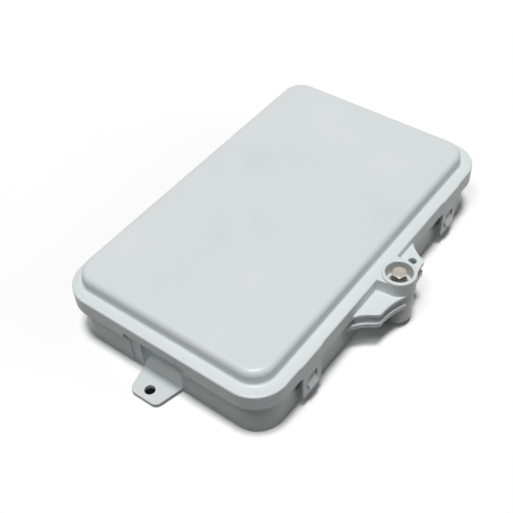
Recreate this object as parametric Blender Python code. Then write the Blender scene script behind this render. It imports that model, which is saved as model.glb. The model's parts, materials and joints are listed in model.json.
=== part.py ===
"""Fibre distribution box for a wall: hinged lid, latches, lock screw, adapters and splice tray.

Metres, +Z up. The box lies on its back, with the origin at the middle of the back face.
+X is the lock side, -X the hinge side, and the cables enter at the +Y end.
"""
import math

import bpy
import bmesh
from mathutils import Matrix, Vector

MM = 0.001
FIT = 0.3 * MM                 # gap between pieces that touch
SIDES = 20                     # faces round a bore or a boss
SMALL_SIDES = 12               # faces round a screw or a pin
CORNER_STEPS = 6               # faces in a box corner
MIN_CORNER = 0.5 * MM          # smallest corner left by an inset
OVER = 1.0 * MM                # how far a cutter runs past the face that it opens

# Lid
LID_W = 141.8 * MM             # over the flange
LID_L = 230.0 * MM
LID_WALL = 2.2 * MM
FLANGE_Z = 36.4 * MM           # top of the flange
SKIRT_Z = 25.4 * MM            # lower edge of the skirt
FLANGE_CORNER = 20.0 * MM
FLANGE_ROUND = 0.8 * MM
PAD_RISE = 9.1 * MM            # raised centre panel above the flange
PAD_MARGIN = 6.7 * MM          # flange showing round the panel
PAD_MARGIN_HINGE = 4.4 * MM
PAD_CORNER = 14.0 * MM
PAD_DRAFT = 0.8 * MM
PAD_ROUND = 3.2 * MM

# Base
BASE_INSET = 3.8 * MM          # base wall inside the lid's edge
BASE_CORNER = 16.2 * MM
BASE_WALL = 2.4 * MM
FLOOR = 2.6 * MM
BASE_ROUND = 1.2 * MM
LEDGE_OUT = 1.7 * MM           # rim ledge under the skirt
LEDGE_HIGH = 3.2 * MM
GASKET_HIGH = 2.1 * MM

# Wall lugs
LUG_X = -1.8 * MM
LUG_REACH = 16.9 * MM          # past the base wall
LUG_ROOT = 28.0 * MM
LUG_TIP = 21.0 * MM
LUG_THICK = 2.8 * MM
LUG_CORNER = 4.5 * MM
LUG_HOLE = 6.2 * MM
LUG_HOLE_OUT = 10.7 * MM
NOTCH_DEEP = 6.4 * MM          # recess in the wall that the lug slopes up into
NOTCH_BACK = 1.8 * MM          # wall behind the recess
NOTCH_CORNER = 6.0 * MM        # round inner corners of the recess
GAP_W = 42.0 * MM              # gap in the skirt and the ledge above a lug
GAP_HIGH = 4.1 * MM            # and how far it cuts into the skirt
GAP_DEEP = 0.4 * MM            # wall set back under the gap

# Lock boss on the +X side
BOSS_OUT = 7.6 * MM            # centre outside the flange edge
BOSS_R = 10.0 * MM
BOSS_RISE = 1.5 * MM           # ring above the flange
WELL_R = 7.7 * MM
WELL_FLOOR = 7.4 * MM          # well floor below the flange top
LOCK_BORE_R = 2.6 * MM
BASE_BOSS_R = 9.3 * MM
BASE_BOSS_Z = 4.0 * MM
EAR_DROP = 5.0 * MM            # seal ear below the flange
EAR_THICK = 2.6 * MM
EAR_ROOT = 29.0 * MM           # along the edge from the boss
EAR_TIP = 18.6 * MM
EAR_OUT = 12.6 * MM
EAR_TIP_R = 2.6 * MM
BOSS_FLARE = 11.0 * MM
SEAL_HOLE = 4.8 * MM
SEAL_ALONG = 16.4 * MM
SEAL_OUT = 6.9 * MM
BASE_EAR_DROP = 2.0 * MM       # base's own ear below the ledge
WING_ROOT = 34.0 * MM
WING_TIP = 23.6 * MM
WING_OUT = 11.5 * MM
WING_TIP_R = 2.0 * MM
WING_THICK = 2.6 * MM
WING_END_IN = 1.3 * MM         # end of the sweep inside the boss's far side
WING_END_ALONG = 5.0 * MM      # and along the edge from the boss's centre
LIP_DROP = 8.4 * MM            # base wing's foot below the skirt
LIP_HIGH = 3.5 * MM
LIP_INSET = 1.2 * MM
RIB_UP = 1.0 * MM              # web and rib above the foot of the lip and the boss

# Latches
TAB_W = 16.8 * MM
TAB_Y = 73.4 * MM
TAB_PROUD = 0.5 * MM
TAB_THICK = 1.9 * MM
TAB_Z = 7.0 * MM
WINDOW_W = 8.4 * MM
WINDOW_LOW = 4.2 * MM          # bar under the window
WINDOW_HIGH = 10.5 * MM
CATCH_HIGH = 7.0 * MM
CATCH_NOSE = 1.0 * MM

# Hinge on the -X side
HINGE_OUT = 3.3 * MM           # axis outside the skirt
HINGE_DROP = 2.0 * MM          # axis below the skirt's edge
HINGE_Y = 70.0 * MM
KNUCKLE_R = 2.8 * MM
KNUCKLE_MID = 14.0 * MM
KNUCKLE_END = 8.0 * MM
KNUCKLE_GAP = 0.4 * MM
PIN_R = 1.3 * MM

# Lock screw, its retaining washer and the brass insert
HEAD_FLATS = 8.0 * MM
HEAD_HIGH = 8.1 * MM
HEAD_CHAMFER = 0.5 * MM
HEAD_SIDES = 24                # faces round the screw, four to a flat
SHANK_R = 2.0 * MM
SHANK_REACH = 7.0 * MM         # into the base boss
COLLAR_R = 5.6 * MM
COLLAR_HIGH = 1.0 * MM
WASHER_R = 4.2 * MM
WASHER_HIGH = 0.8 * MM
RECESS_HIGH = 1.4 * MM
INSERT_R = 4.0 * MM
INSERT_HIGH = 9.0 * MM

# Adapter row
PORT_PITCH = 13.2 * MM
ADAPTER_W = 9.4 * MM
ADAPTER_H = 13.0 * MM
ADAPTER_L = 26.0 * MM
ADAPTER_BORE = 7.2 * MM
ADAPTER_DEPTH = 9.0 * MM
ADAPTER_RIM = 1.1 * MM
FERRULE_R = 1.2 * MM           # bore between the two sockets
PANEL_Y = 38.0 * MM
PANEL_THICK = 2.0 * MM
PANEL_SIDE = 6.9 * MM          # panel's ends inside the base wall
PANEL_FOOT_HIGH = 2.0 * MM
PANEL_POST = 3.0 * MM          # posts under the panel's foot
PANEL_EDGE = 5.0 * MM
ADAPTER_UP = 3.0 * MM          # adapter above the panel's foot
CAP_L = 9.0 * MM
CAP_IN = 6.0 * MM
CAP_FLANGE = 1.2 * MM
CAP_FLANGE_UP = 1.0 * MM       # cap flange above and below the socket

# Splice tray, holder and splitter
TRAY_W = 92.0 * MM
TRAY_L = 96.0 * MM
TRAY_Y = -44.0 * MM
TRAY_CORNER = 26.0 * MM
TRAY_HIGH = 8.0 * MM
TRAY_WALL = 1.6 * MM
TRAY_UP = 8.0 * MM             # posts under the tray
TRAY_POST_IN = 12.0 * MM       # screws inside the tray's sides and ends
MOUTH_W = 12.0 * MM            # gaps in the tray's long sides for the fibres
SPOOL_R = 14.0 * MM
SPOOL_GAP = 1.0 * MM           # between a spool and the splice holder
SPOOL_LOW = 1.0 * MM           # spool's top below the tray's rim
HOLDER_W = 34.0 * MM
HOLDER_L = 14.0 * MM
HOLDER_SLOTS = 6
HOLDER_HIGH = 4.5 * MM
HOLDER_PLATE = 1.4 * MM
SLOT_W = 2.8 * MM
SPLITTER_W = 60.0 * MM
SPLITTER_D = 7.0 * MM
SPLITTER_H = 4.0 * MM
SPLITTER_Y = 18.0 * MM
SPLITTER_ROUND = 0.6 * MM
CLIP_THICK = 1.4 * MM
CLIP_W = 8.0 * MM
CLIP_UP = 1.0 * MM             # clips above the splitter

# Cable entries at the +Y end
ENTRY_SIDE = 23.7 * MM         # main cable's middle inside the base's side
ENTRY_Z = 13.0 * MM
ENTRY_R = 5.2 * MM
GROMMET_R = 7.0 * MM
GROMMET_LIP = 1.6 * MM
GROMMET_BORE = 3.3 * MM
DROP_X = 25.6 * MM
DROP_W = 14.0 * MM
DROP_H = 8.0 * MM
DROPS = 4                      # drop cables through each seal
DROP_LIP = 1.6 * MM
DROP_SLOT_W = 2.2 * MM
DROP_SLOT_H = 3.4 * MM
CLAMP_Y = 88.0 * MM
CLAMP_W = 24.0 * MM
CLAMP_D = 9.0 * MM
CLAMP_THICK = 2.4 * MM
CLAMP_POST_HIGH = 6.0 * MM
CLAMP_SPAN = 15.0 * MM
ARCH_HALF = 3.0 * MM           # half the saddle's inner width
ARCH_HIGH = 3.5 * MM
ARCH_WALL = 1.5 * MM
ARCH_STEPS = 6

# Pan-head screws
SCREW_HEAD_R = 2.8 * MM
SCREW_HEAD_HIGH = 1.9 * MM
SCREW_R = 1.2 * MM
SCREW_REACH = 4.0 * MM
POST_R = 3.2 * MM
HOLE_INTO_FLOOR = 0.8 * MM     # post holes below the floor's face

# Places that follow from the sizes above
LX, LY = LID_W / 2, LID_L / 2
BX, BY = LX - BASE_INSET, LY - BASE_INSET
PAD_Z = FLANGE_Z + PAD_RISE
INNER_Z = FLANGE_Z - LID_WALL
RIM_Z = INNER_Z - GASKET_HIGH - 2 * FIT
LEDGE_Z = SKIRT_Z - FIT
BOSS_X = LX + BOSS_OUT
WELL_Z = FLANGE_Z - WELL_FLOOR
WING_Z = SKIRT_Z + WING_THICK
EAR_Z = FLANGE_Z - EAR_DROP
HINGE_X = -LX - HINGE_OUT
HINGE_Z = SKIRT_Z - HINGE_DROP
TAB_X = LX + TAB_PROUD
ENTRY_X = BX - ENTRY_SIDE
PANEL_W = 2 * (BX - BASE_WALL - PANEL_SIDE)
PANEL_FOOT = (ADAPTER_L - PANEL_THICK) / 2
PORTS = int((PANEL_W - 2 * PANEL_EDGE) / PORT_PITCH + 1e-6)
PANEL_TOP = FLOOR + PANEL_POST + FIT + PANEL_FOOT_HIGH
ADAPTER_Z = PANEL_TOP + ADAPTER_UP + ADAPTER_H / 2
TRAY_Z = FLOOR + TRAY_UP + FIT


def clear_scene():
    for old in list(bpy.data.objects):
        bpy.data.objects.remove(old, do_unlink=True)


def material(name, colour, roughness, metallic=0.0):
    mat = bpy.data.materials.get(name) or bpy.data.materials.new(name)
    mat.use_nodes = True
    shader = mat.node_tree.nodes["Principled BSDF"]
    shader.inputs["Base Color"].default_value = (*colour, 1)
    shader.inputs["Roughness"].default_value = roughness
    shader.inputs["Metallic"].default_value = metallic
    return mat


def plastic_white():
    return material("white_abs", (0.66, 0.70, 0.69), 0.3)


def plastic_grey():
    return material("grey_abs", (0.45, 0.48, 0.50), 0.4)


def plastic_green():
    return material("green_adapter", (0.05, 0.36, 0.16), 0.4)


def plastic_clear():
    return material("cap_plastic", (0.55, 0.60, 0.62), 0.3)


def rubber():
    return material("seal_rubber", (0.03, 0.03, 0.03), 0.7)


def steel():
    return material("zinc_steel", (0.62, 0.60, 0.55), 0.35, 1.0)


def brass():
    return material("brass", (0.60, 0.44, 0.18), 0.35, 1.0)


def add_object(name, bm, mat=None, cutter=False):
    """Turn a bmesh into an object; a cutter is only drawn as wire."""
    bmesh.ops.recalc_face_normals(bm, faces=bm.faces)
    mesh = bpy.data.meshes.new(name)
    bm.to_mesh(mesh)
    bm.free()
    obj = bpy.data.objects.new(name, mesh)
    bpy.context.collection.objects.link(obj)
    if cutter:
        obj.hide_render = True
        obj.display_type = "WIRE"
    else:
        obj.data.materials.append(mat)
        obj.data.shade_smooth()
        obj.data.set_sharp_from_angle(angle=math.radians(30))
    return obj


def combine(target, tool, operation):
    """Join a tool to the target, or cut it away."""
    mod = target.modifiers.new(f"{operation.lower()} {tool.name}", "BOOLEAN")
    mod.operation = operation
    mod.object = tool
    mod.solver = "EXACT"
    return target


def join(target, name, bm):
    return combine(target, add_object(name, bm, cutter=True), "UNION")


def cut(target, name, bm):
    return combine(target, add_object(name, bm, cutter=True), "DIFFERENCE")


def rounded_outline(x0, x1, y0, y1, radius, steps=CORNER_STEPS):
    """Points of a rectangle with round corners, anticlockwise."""
    points = []
    corners = ((x1, y1, 0), (x0, y1, 90), (x0, y0, 180), (x1, y0, 270))
    for cx, cy, start in corners:
        ox = cx - math.copysign(radius, cx - (x0 + x1) / 2)
        oy = cy - math.copysign(radius, cy - (y0 + y1) / 2)
        for step in range(steps + 1):
            angle = math.radians(start + 90 * step / steps)
            points.append((ox + radius * math.cos(angle), oy + radius * math.sin(angle)))
    return points


def loft(rings):
    """Closed skin over (outline, z) rings with equal point counts, capped at both ends."""
    bm = bmesh.new()
    rows = [[bm.verts.new((x, y, z)) for x, y in outline] for outline, z in rings]
    for low, high in zip(rows, rows[1:]):
        for i in range(len(low)):
            j = (i + 1) % len(low)
            bm.faces.new((low[i], low[j], high[j], high[i]))
    bm.faces.new(rows[0])
    bm.faces.new(rows[-1])
    return bm


def prism(outline, z0, z1):
    return loft([(outline, z0), (outline, z1)])


def box(x0, x1, y0, y1, z0, z1):
    return prism([(x0, y0), (x1, y0), (x1, y1), (x0, y1)], z0, z1)


def circle(cx, cy, radius, sides=SIDES, turn=0.0):
    return [(cx + radius * math.cos(turn + math.tau * i / sides),
             cy + radius * math.sin(turn + math.tau * i / sides)) for i in range(sides)]


def cylinder(cx, cy, radius, z0, z1, sides=SIDES):
    return prism(circle(cx, cy, radius, sides), z0, z1)


def turned(profile, sides=SIDES, turn=0.0):
    """Solid turned about Z from (radius, z) points that run from bottom to top."""
    return loft([(circle(0, 0, radius, sides, turn), z) for radius, z in profile])


def along_y(bm, x, z, y=0.0):
    """Lay a solid that was drawn along Z down along Y, at x and z."""
    bmesh.ops.rotate(bm, verts=bm.verts, cent=(0, 0, 0), matrix=Matrix.Rotation(math.pi / 2, 3, "X"))
    bmesh.ops.translate(bm, verts=bm.verts, vec=(x, y, z))
    return bm


def along_x_profile(points, x0, x1):
    """Prism of a (y, z) outline between two x planes."""
    bm = prism(points, x0, x1)
    for vert in bm.verts:
        y, z, x = vert.co
        vert.co = Vector((x, y, z))
    return bm


def along_y_profile(points, y0, y1):
    """Prism of an (x, z) outline between two y planes."""
    bm = prism(points, y0, y1)
    for vert in bm.verts:
        x, z, y = vert.co
        vert.co = Vector((x, y, z))
    return bm


def group(*parts):
    """Put separate solids that don't touch into one bmesh."""
    bm = bmesh.new()
    for part in parts:
        mesh = bpy.data.meshes.new("part")
        part.to_mesh(mesh)
        part.free()
        bm.from_mesh(mesh)
        bpy.data.meshes.remove(mesh)
    return bm


def hull(points):
    """Convex outline round a set of points, anticlockwise."""
    points = sorted(set(points))

    def chain(ordered):
        out = []
        for p in ordered:
            while len(out) > 1:
                (ax, ay), (bx, by) = out[-2], out[-1]
                if (bx - ax) * (p[1] - ay) - (by - ay) * (p[0] - ax) > 1e-12:
                    break
                out.pop()
            out.append(p)
        return out[:-1]

    return chain(points) + chain(points[::-1])


def inset_outline(x0, x1, y0, y1, radius, inset):
    return rounded_outline(x0 + inset, x1 - inset, y0 + inset, y1 - inset, max(radius - inset, MIN_CORNER))


def flange_outline(inset=0.0):
    return inset_outline(-LX, LX, -LY, LY, FLANGE_CORNER, inset)


def pad_outline(inset=0.0):
    x0, x1 = -LX + PAD_MARGIN_HINGE, LX - PAD_MARGIN
    return inset_outline(x0, x1, -LY + PAD_MARGIN, LY - PAD_MARGIN, PAD_CORNER, inset)


def base_outline(inset=0.0):
    return inset_outline(-BX, BX, -BY, BY, BASE_CORNER, inset)


def quarter(radius, steps=3):
    """(inwards, upwards) points of a rounded edge, from the top to the side."""
    angles = [math.pi / 2 * (1 - i / steps) for i in range(steps + 1)]
    return [(radius * (1 - math.cos(a)), radius * (math.sin(a) - 1)) for a in angles]


def lid_shell():
    rings = [(pad_outline(PAD_DRAFT + out), PAD_Z + up) for out, up in quarter(PAD_ROUND)]
    rings.append((pad_outline(), FLANGE_Z))
    rings += [(flange_outline(out), FLANGE_Z + up) for out, up in quarter(FLANGE_ROUND, 2)]
    rings.append((flange_outline(), SKIRT_Z))
    rings.append((flange_outline(LID_WALL), SKIRT_Z))
    rings.append((flange_outline(LID_WALL), INNER_Z))
    rings.append((pad_outline(LID_WALL), INNER_Z))
    rings.append((pad_outline(LID_WALL + PAD_DRAFT), PAD_Z - PAD_ROUND))
    rings.append((pad_outline(PAD_DRAFT + PAD_ROUND), PAD_Z - LID_WALL))
    return loft(rings)


def boss_arc(radius, low, high):
    """Points of the lock boss between two angles in degrees."""
    steps = round((high - low) / (360 / SIDES))
    angles = [math.radians(low + (high - low) * i / steps) for i in range(steps + 1)]
    return [(BOSS_X + radius * math.cos(a), radius * math.sin(a)) for a in angles]


def ear_outline(root_x):
    """Seal ear on the +Y side of the boss."""
    tip = circle(LX + EAR_OUT - EAR_TIP_R, EAR_TIP, EAR_TIP_R)
    root = [(root_x, EAR_ROOT), (root_x, 0.0)]
    return hull(root + tip + boss_arc(BOSS_R - FIT, 0, 90))


def wing_outline(root_x, inset=0.0):
    """Web on the -Y side of the boss, whose edge sweeps from a round corner into the boss."""
    tip_x, tip_y, radius = LX + WING_OUT - WING_TIP_R, -WING_TIP, WING_TIP_R - inset
    corner = [(tip_x + radius * math.cos(a), tip_y + radius * math.sin(a))
              for a in (math.radians(-50 + 25 * i) for i in range(3))]
    edge_x, end_x = tip_x + radius, BOSS_X + BOSS_R - WING_END_IN - inset
    sweep = [(edge_x + (end_x - edge_x) * t * t, tip_y + t * (WING_TIP - WING_END_ALONG))
             for t in (0.2, 0.4, 0.6, 0.8, 1.0)]
    return [(root_x, 0.0), (root_x, -WING_ROOT + inset)] + corner + sweep + [(BOSS_X, 0.0)]


def boss_block(root_x, radius, flare):
    """Boss drawn out to the wall behind it."""
    return hull([(root_x, -flare), (root_x, flare)] + circle(BOSS_X, 0, radius))


def tab(sign):
    y = sign * TAB_Y
    return box(TAB_X - TAB_THICK, TAB_X, y - TAB_W / 2, y + TAB_W / 2, TAB_Z, FLANGE_Z - FLANGE_ROUND)


def tab_window(sign):
    y = sign * TAB_Y
    low = TAB_Z + WINDOW_LOW
    return box(TAB_X - TAB_THICK - OVER, TAB_X + OVER, y - WINDOW_W / 2, y + WINDOW_W / 2,
               low, low + WINDOW_HIGH)


def knuckle(y0, y1):
    return along_y_profile(circle(HINGE_X, HINGE_Z, KNUCKLE_R), y0, y1)


def lid_knuckle(sign):
    """Middle knuckle with the arm that carries it on the skirt."""
    root = -LX + LID_WALL / 4
    arm = [(root, SKIRT_Z), (root, SKIRT_Z + 2 * KNUCKLE_R)]
    outline = hull(circle(HINGE_X, HINGE_Z, KNUCKLE_R) + arm)
    y = sign * HINGE_Y
    return along_y_profile(outline, y - KNUCKLE_MID / 2, y + KNUCKLE_MID / 2)


def end_knuckle_spans(sign):
    near = KNUCKLE_MID / 2 + KNUCKLE_GAP
    for side in (-1, 1):
        ends = (sign * HINGE_Y + side * near, sign * HINGE_Y + side * (near + KNUCKLE_END))
        yield min(ends), max(ends)


def pin_bore(sign):
    reach = KNUCKLE_MID / 2 + KNUCKLE_GAP + KNUCKLE_END + OVER
    outline = circle(HINGE_X, HINGE_Z, PIN_R + FIT, SMALL_SIDES)
    return along_y_profile(outline, sign * HINGE_Y - reach, sign * HINGE_Y + reach)


def make_lid():
    lid = add_object("lid", lid_shell(), plastic_white())
    root = LX - LID_WALL / 2
    join(lid, "lid boss block", prism(boss_block(root, BOSS_R - FIT, BOSS_FLARE), SKIRT_Z, FLANGE_Z))
    join(lid, "lid boss", cylinder(BOSS_X, 0, BOSS_R, SKIRT_Z + FIT, FLANGE_Z + BOSS_RISE))
    join(lid, "seal ear", prism(ear_outline(root), EAR_Z - EAR_THICK, EAR_Z))
    join(lid, "lid wing", prism(wing_outline(root), SKIRT_Z, WING_Z))
    join(lid, "latch tabs", group(tab(-1), tab(1)))
    join(lid, "lid knuckles", group(lid_knuckle(-1), lid_knuckle(1)))
    cut(lid, "latch windows", group(tab_window(-1), tab_window(1)))
    cut(lid, "lid pin bores", group(pin_bore(-1), pin_bore(1)))
    inner = LY - LID_WALL - OVER / 2
    gaps = [lug_gap(end, inner, LY + OVER, SKIRT_Z - OVER, SKIRT_Z + GAP_HIGH) for end in (-1, 1)]
    cut(lid, "skirt gaps", group(*gaps))
    cut(lid, "screw well", cylinder(BOSS_X, 0, WELL_R, WELL_Z, FLANGE_Z + 2 * BOSS_RISE))
    cut(lid, "screw bore", cylinder(BOSS_X, 0, LOCK_BORE_R, SKIRT_Z - OVER, WELL_Z + OVER))
    cut(lid, "washer recess", cylinder(BOSS_X, 0, WASHER_R + FIT, SKIRT_Z - OVER, SKIRT_Z + RECESS_HIGH))
    seal_x = LX + SEAL_OUT
    cut(lid, "seal hole", cylinder(seal_x, SEAL_ALONG, SEAL_HOLE / 2, EAR_Z - 2 * EAR_THICK, EAR_Z + OVER))
    return lid


def screw_holes(places, z0, z1):
    """Clearance holes for the small screws."""
    return group(*[cylinder(x, y, SCREW_R + FIT, z0, z1, SMALL_SIDES) for x, y in places])


def base_shell():
    rings = [(base_outline(out), -up) for out, up in quarter(BASE_ROUND, 2)]
    rings.append((base_outline(), LEDGE_Z - LEDGE_HIGH))
    rings.append((base_outline(-LEDGE_OUT), LEDGE_Z - LEDGE_HIGH))
    rings.append((base_outline(-LEDGE_OUT), LEDGE_Z))
    rings.append((base_outline(), LEDGE_Z))
    rings.append((base_outline(), RIM_Z))
    rings.append((base_outline(BASE_WALL), RIM_Z))
    rings.append((base_outline(BASE_WALL), FLOOR))
    return loft(rings)


def lug(end):
    """Flat wall lug at one end, with round outer corners."""
    wall, tip = end * (BY - BASE_WALL / 2), end * (BY + LUG_REACH - LUG_CORNER)
    root = [(LUG_X - LUG_ROOT / 2, wall), (LUG_X + LUG_ROOT / 2, wall)]
    reach = LUG_TIP / 2 - LUG_CORNER
    corners = circle(LUG_X - reach, tip, LUG_CORNER) + circle(LUG_X + reach, tip, LUG_CORNER)
    return prism(hull(root + corners), 0.0, LUG_THICK)


def notch_back(end):
    """Block inside the wall that closes the recess behind a lug."""
    half = LUG_ROOT / 2 + NOTCH_BACK
    y0, y1 = sorted((end * (BY - BASE_WALL / 2), end * (BY - NOTCH_DEEP - NOTCH_BACK)))
    return box(LUG_X - half, LUG_X + half, y0, y1, FLOOR / 2, RIM_Z - FIT)


def notch(end):
    """Recess above a lug, with round inner corners."""
    x0, x1 = LUG_X - LUG_ROOT / 2, LUG_X + LUG_ROOT / 2
    outer, inner = -BY - LEDGE_OUT - OVER, NOTCH_DEEP - BY
    back = rounded_outline(x0, x1, outer, inner, NOTCH_CORNER)[:2 * (CORNER_STEPS + 1)]
    outline = [(x, -end * y) for x, y in back + [(x0, outer), (x1, outer)]]
    return prism(outline, LUG_THICK, LEDGE_Z + GAP_HIGH)


def lug_gap(end, inner, outer, z0, z1):
    """Cutter for the gap above a lug, from one distance from the middle to another."""
    y0, y1 = sorted((end * inner, end * outer))
    return box(LUG_X - GAP_W / 2, LUG_X + GAP_W / 2, y0, y1, z0, z1)


def ramp(end):
    """Slope from a lug up to the back of its recess."""
    wall, back, inner = BY - GAP_DEEP, BY - NOTCH_DEEP, BY - NOTCH_DEEP - NOTCH_BACK / 2
    top = LUG_THICK + wall - back
    points = [(end * wall, FLOOR / 2), (end * wall, LUG_THICK), (end * back, top), (end * inner, top),
              (end * inner, FLOOR / 2)]
    half = (LUG_ROOT + NOTCH_BACK) / 2
    return along_x_profile(points, LUG_X - half, LUG_X + half)


def catch(sign):
    """Wedge that the latch tab's window drops over, with its slope facing up."""
    reach = TAB_X - TAB_THICK - FIT
    low = TAB_Z + WINDOW_LOW + FIT
    points = [(BX - BASE_WALL / 2, low), (reach, low), (reach, low + CATCH_NOSE),
              (BX - BASE_WALL / 4, low + CATCH_HIGH), (BX - BASE_WALL / 2, low + CATCH_HIGH)]
    y, half = sign * TAB_Y, WINDOW_W / 2 - FIT
    return along_y_profile(points, y - half, y + half)


def base_knuckles():
    return group(*[knuckle(y0, y1) for sign in (-1, 1) for y0, y1 in end_knuckle_spans(sign)])


def base_arms():
    """Arms under the skirt from the wall to the end knuckles."""
    z0, z1 = HINGE_Z - KNUCKLE_R / 2, LEDGE_Z - FIT
    arms = [box(HINGE_X, -BX + BASE_WALL / 2, y0 + FIT, y1 - FIT, z0, z1)
            for sign in (-1, 1) for y0, y1 in end_knuckle_spans(sign)]
    return group(*arms)


def panel_screw_places():
    x = PANEL_W / 2 - 2 * POST_R
    y = PANEL_Y - PANEL_FOOT / 2
    return [(-x, y), (x, y)]


def tray_post_places():
    x, y = TRAY_W / 2 - TRAY_POST_IN, TRAY_L / 2 - TRAY_POST_IN
    return [(sx * x, TRAY_Y + sy * y) for sx in (-1, 1) for sy in (-1, 1)]


def clamp_post_places():
    return [(side * ENTRY_X + part * CLAMP_SPAN / 2, CLAMP_Y) for side in (-1, 1) for part in (-1, 1)]


def post_list():
    """(x, y, top) of each screw post on the floor."""
    posts = [(x, y, FLOOR + PANEL_POST) for x, y in panel_screw_places()]
    posts += [(x, y, FLOOR + TRAY_UP) for x, y in tray_post_places()]
    posts += [(x, y, FLOOR + CLAMP_POST_HIGH) for x, y in clamp_post_places()]
    return posts


def splitter_clips():
    inner = SPLITTER_D / 2 + FIT
    clips = []
    for x in (-SPLITTER_W / 3, SPLITTER_W / 3):
        for side in (-1, 1):
            y0, y1 = sorted((SPLITTER_Y + side * inner, SPLITTER_Y + side * (inner + CLIP_THICK)))
            clips.append(box(x - CLIP_W / 2, x + CLIP_W / 2, y0, y1, FLOOR / 2, FLOOR + SPLITTER_H + CLIP_UP))
    return group(*clips)


def make_base():
    base = add_object("base", base_shell(), plastic_white())
    join(base, "notch backs", group(notch_back(-1), notch_back(1)))
    gaps = [lug_gap(end, BY - GAP_DEEP, BY + LEDGE_OUT + OVER, -OVER, LEDGE_Z + GAP_HIGH) for end in (-1, 1)]
    cut(base, "ledge gaps", group(*gaps))
    join(base, "lugs", group(lug(-1), lug(1)))
    root, foot = BX - BASE_WALL / 2, SKIRT_Z - LIP_DROP
    join(base, "base wing", prism(wing_outline(root, LIP_INSET), foot + RIB_UP, LEDGE_Z))
    join(base, "base wing lip", prism(wing_outline(root), foot, foot + LIP_HIGH))
    ear_top = LEDGE_Z - BASE_EAR_DROP
    join(base, "base ear", prism(ear_outline(root), ear_top - EAR_THICK, ear_top))
    join(base, "base boss", cylinder(BOSS_X, 0, BASE_BOSS_R, BASE_BOSS_Z, LEDGE_Z))
    join(base, "base boss rib", box(root, BOSS_X, -BASE_BOSS_R / 2, BASE_BOSS_R / 2,
                                    BASE_BOSS_Z + RIB_UP, LEDGE_Z - FIT))
    join(base, "catches", group(catch(-1), catch(1)))
    join(base, "base knuckles", base_knuckles())
    join(base, "base arms", base_arms())
    join(base, "posts", group(*[cylinder(x, y, POST_R, FLOOR / 2, top, SMALL_SIDES)
                                for x, y, top in post_list()]))
    join(base, "splitter clips", splitter_clips())
    cut(base, "notches", group(notch(-1), notch(1)))
    join(base, "ramps", group(ramp(-1), ramp(1)))
    seal_x = LX + SEAL_OUT
    cut(base, "base seal hole", cylinder(seal_x, SEAL_ALONG, SEAL_HOLE / 2,
                                         ear_top - 2 * EAR_THICK, ear_top + OVER))
    for height in sorted({top for _, _, top in post_list()}):
        places = [(x, y) for x, y, top in post_list() if top == height]
        cut(base, f"post holes {places[0]}", screw_holes(places, FLOOR - HOLE_INTO_FLOOR, height + OVER))
    holes = [cylinder(LUG_X, end * (BY + LUG_HOLE_OUT), LUG_HOLE / 2, -OVER, LUG_THICK + OVER)
             for end in (-1, 1)]
    cut(base, "lug holes", group(*holes))
    insert_foot = LEDGE_Z - INSERT_HIGH - 2 * FIT
    cut(base, "insert hole", cylinder(BOSS_X, 0, INSERT_R + FIT, insert_foot, SKIRT_Z + OVER))
    cut(base, "base pin bores", group(pin_bore(-1), pin_bore(1)))
    entries = []
    for side in (-1, 1):
        bore = prism(circle(0, 0, ENTRY_R), -BASE_WALL, BASE_WALL)
        entries.append(along_y(bore, side * ENTRY_X, ENTRY_Z, BY - BASE_WALL / 2))
        x = side * DROP_X + LUG_X
        entries.append(box(x - DROP_W / 2, x + DROP_W / 2, BY - 2 * BASE_WALL, BY + BASE_WALL,
                           ENTRY_Z - DROP_H / 2, ENTRY_Z + DROP_H / 2))
    cut(base, "cable entries", group(*entries))
    return base


def make_gasket():
    """Silicone ring between the base rim and the lid."""
    low, high = RIM_Z + FIT, INNER_Z - FIT
    rings = [(base_outline(), low), (base_outline(), high),
             (base_outline(BASE_WALL), high), (base_outline(BASE_WALL), low)]
    gasket = bmesh.new()
    rows = [[gasket.verts.new((x, y, z)) for x, y in outline] for outline, z in rings]
    for low_row, high_row in zip(rows, rows[1:] + rows[:1]):
        for i in range(len(low_row)):
            j = (i + 1) % len(low_row)
            gasket.faces.new((low_row[i], low_row[j], high_row[j], high_row[i]))
    add_object("lid_gasket", gasket, rubber())


def make_hinge_pins():
    reach = KNUCKLE_MID / 2 + KNUCKLE_GAP + KNUCKLE_END
    for number, sign in enumerate((-1, 1), 1):
        outline = circle(HINGE_X, HINGE_Z, PIN_R, SMALL_SIDES)
        pin = along_y_profile(outline, sign * HINGE_Y - reach, sign * HINGE_Y + reach)
        add_object(f"hinge_pin_{number}", pin, steel())


def hexagon(flats, count):
    """Hexagon drawn with as many points as the circles it is lofted to."""
    points = []
    for i in range(count):
        angle = math.tau * i / count
        radius = flats / 2 / math.cos(angle % (math.tau / 6) - math.tau / 12)
        points.append((radius * math.cos(angle), radius * math.sin(angle)))
    return points


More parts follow.
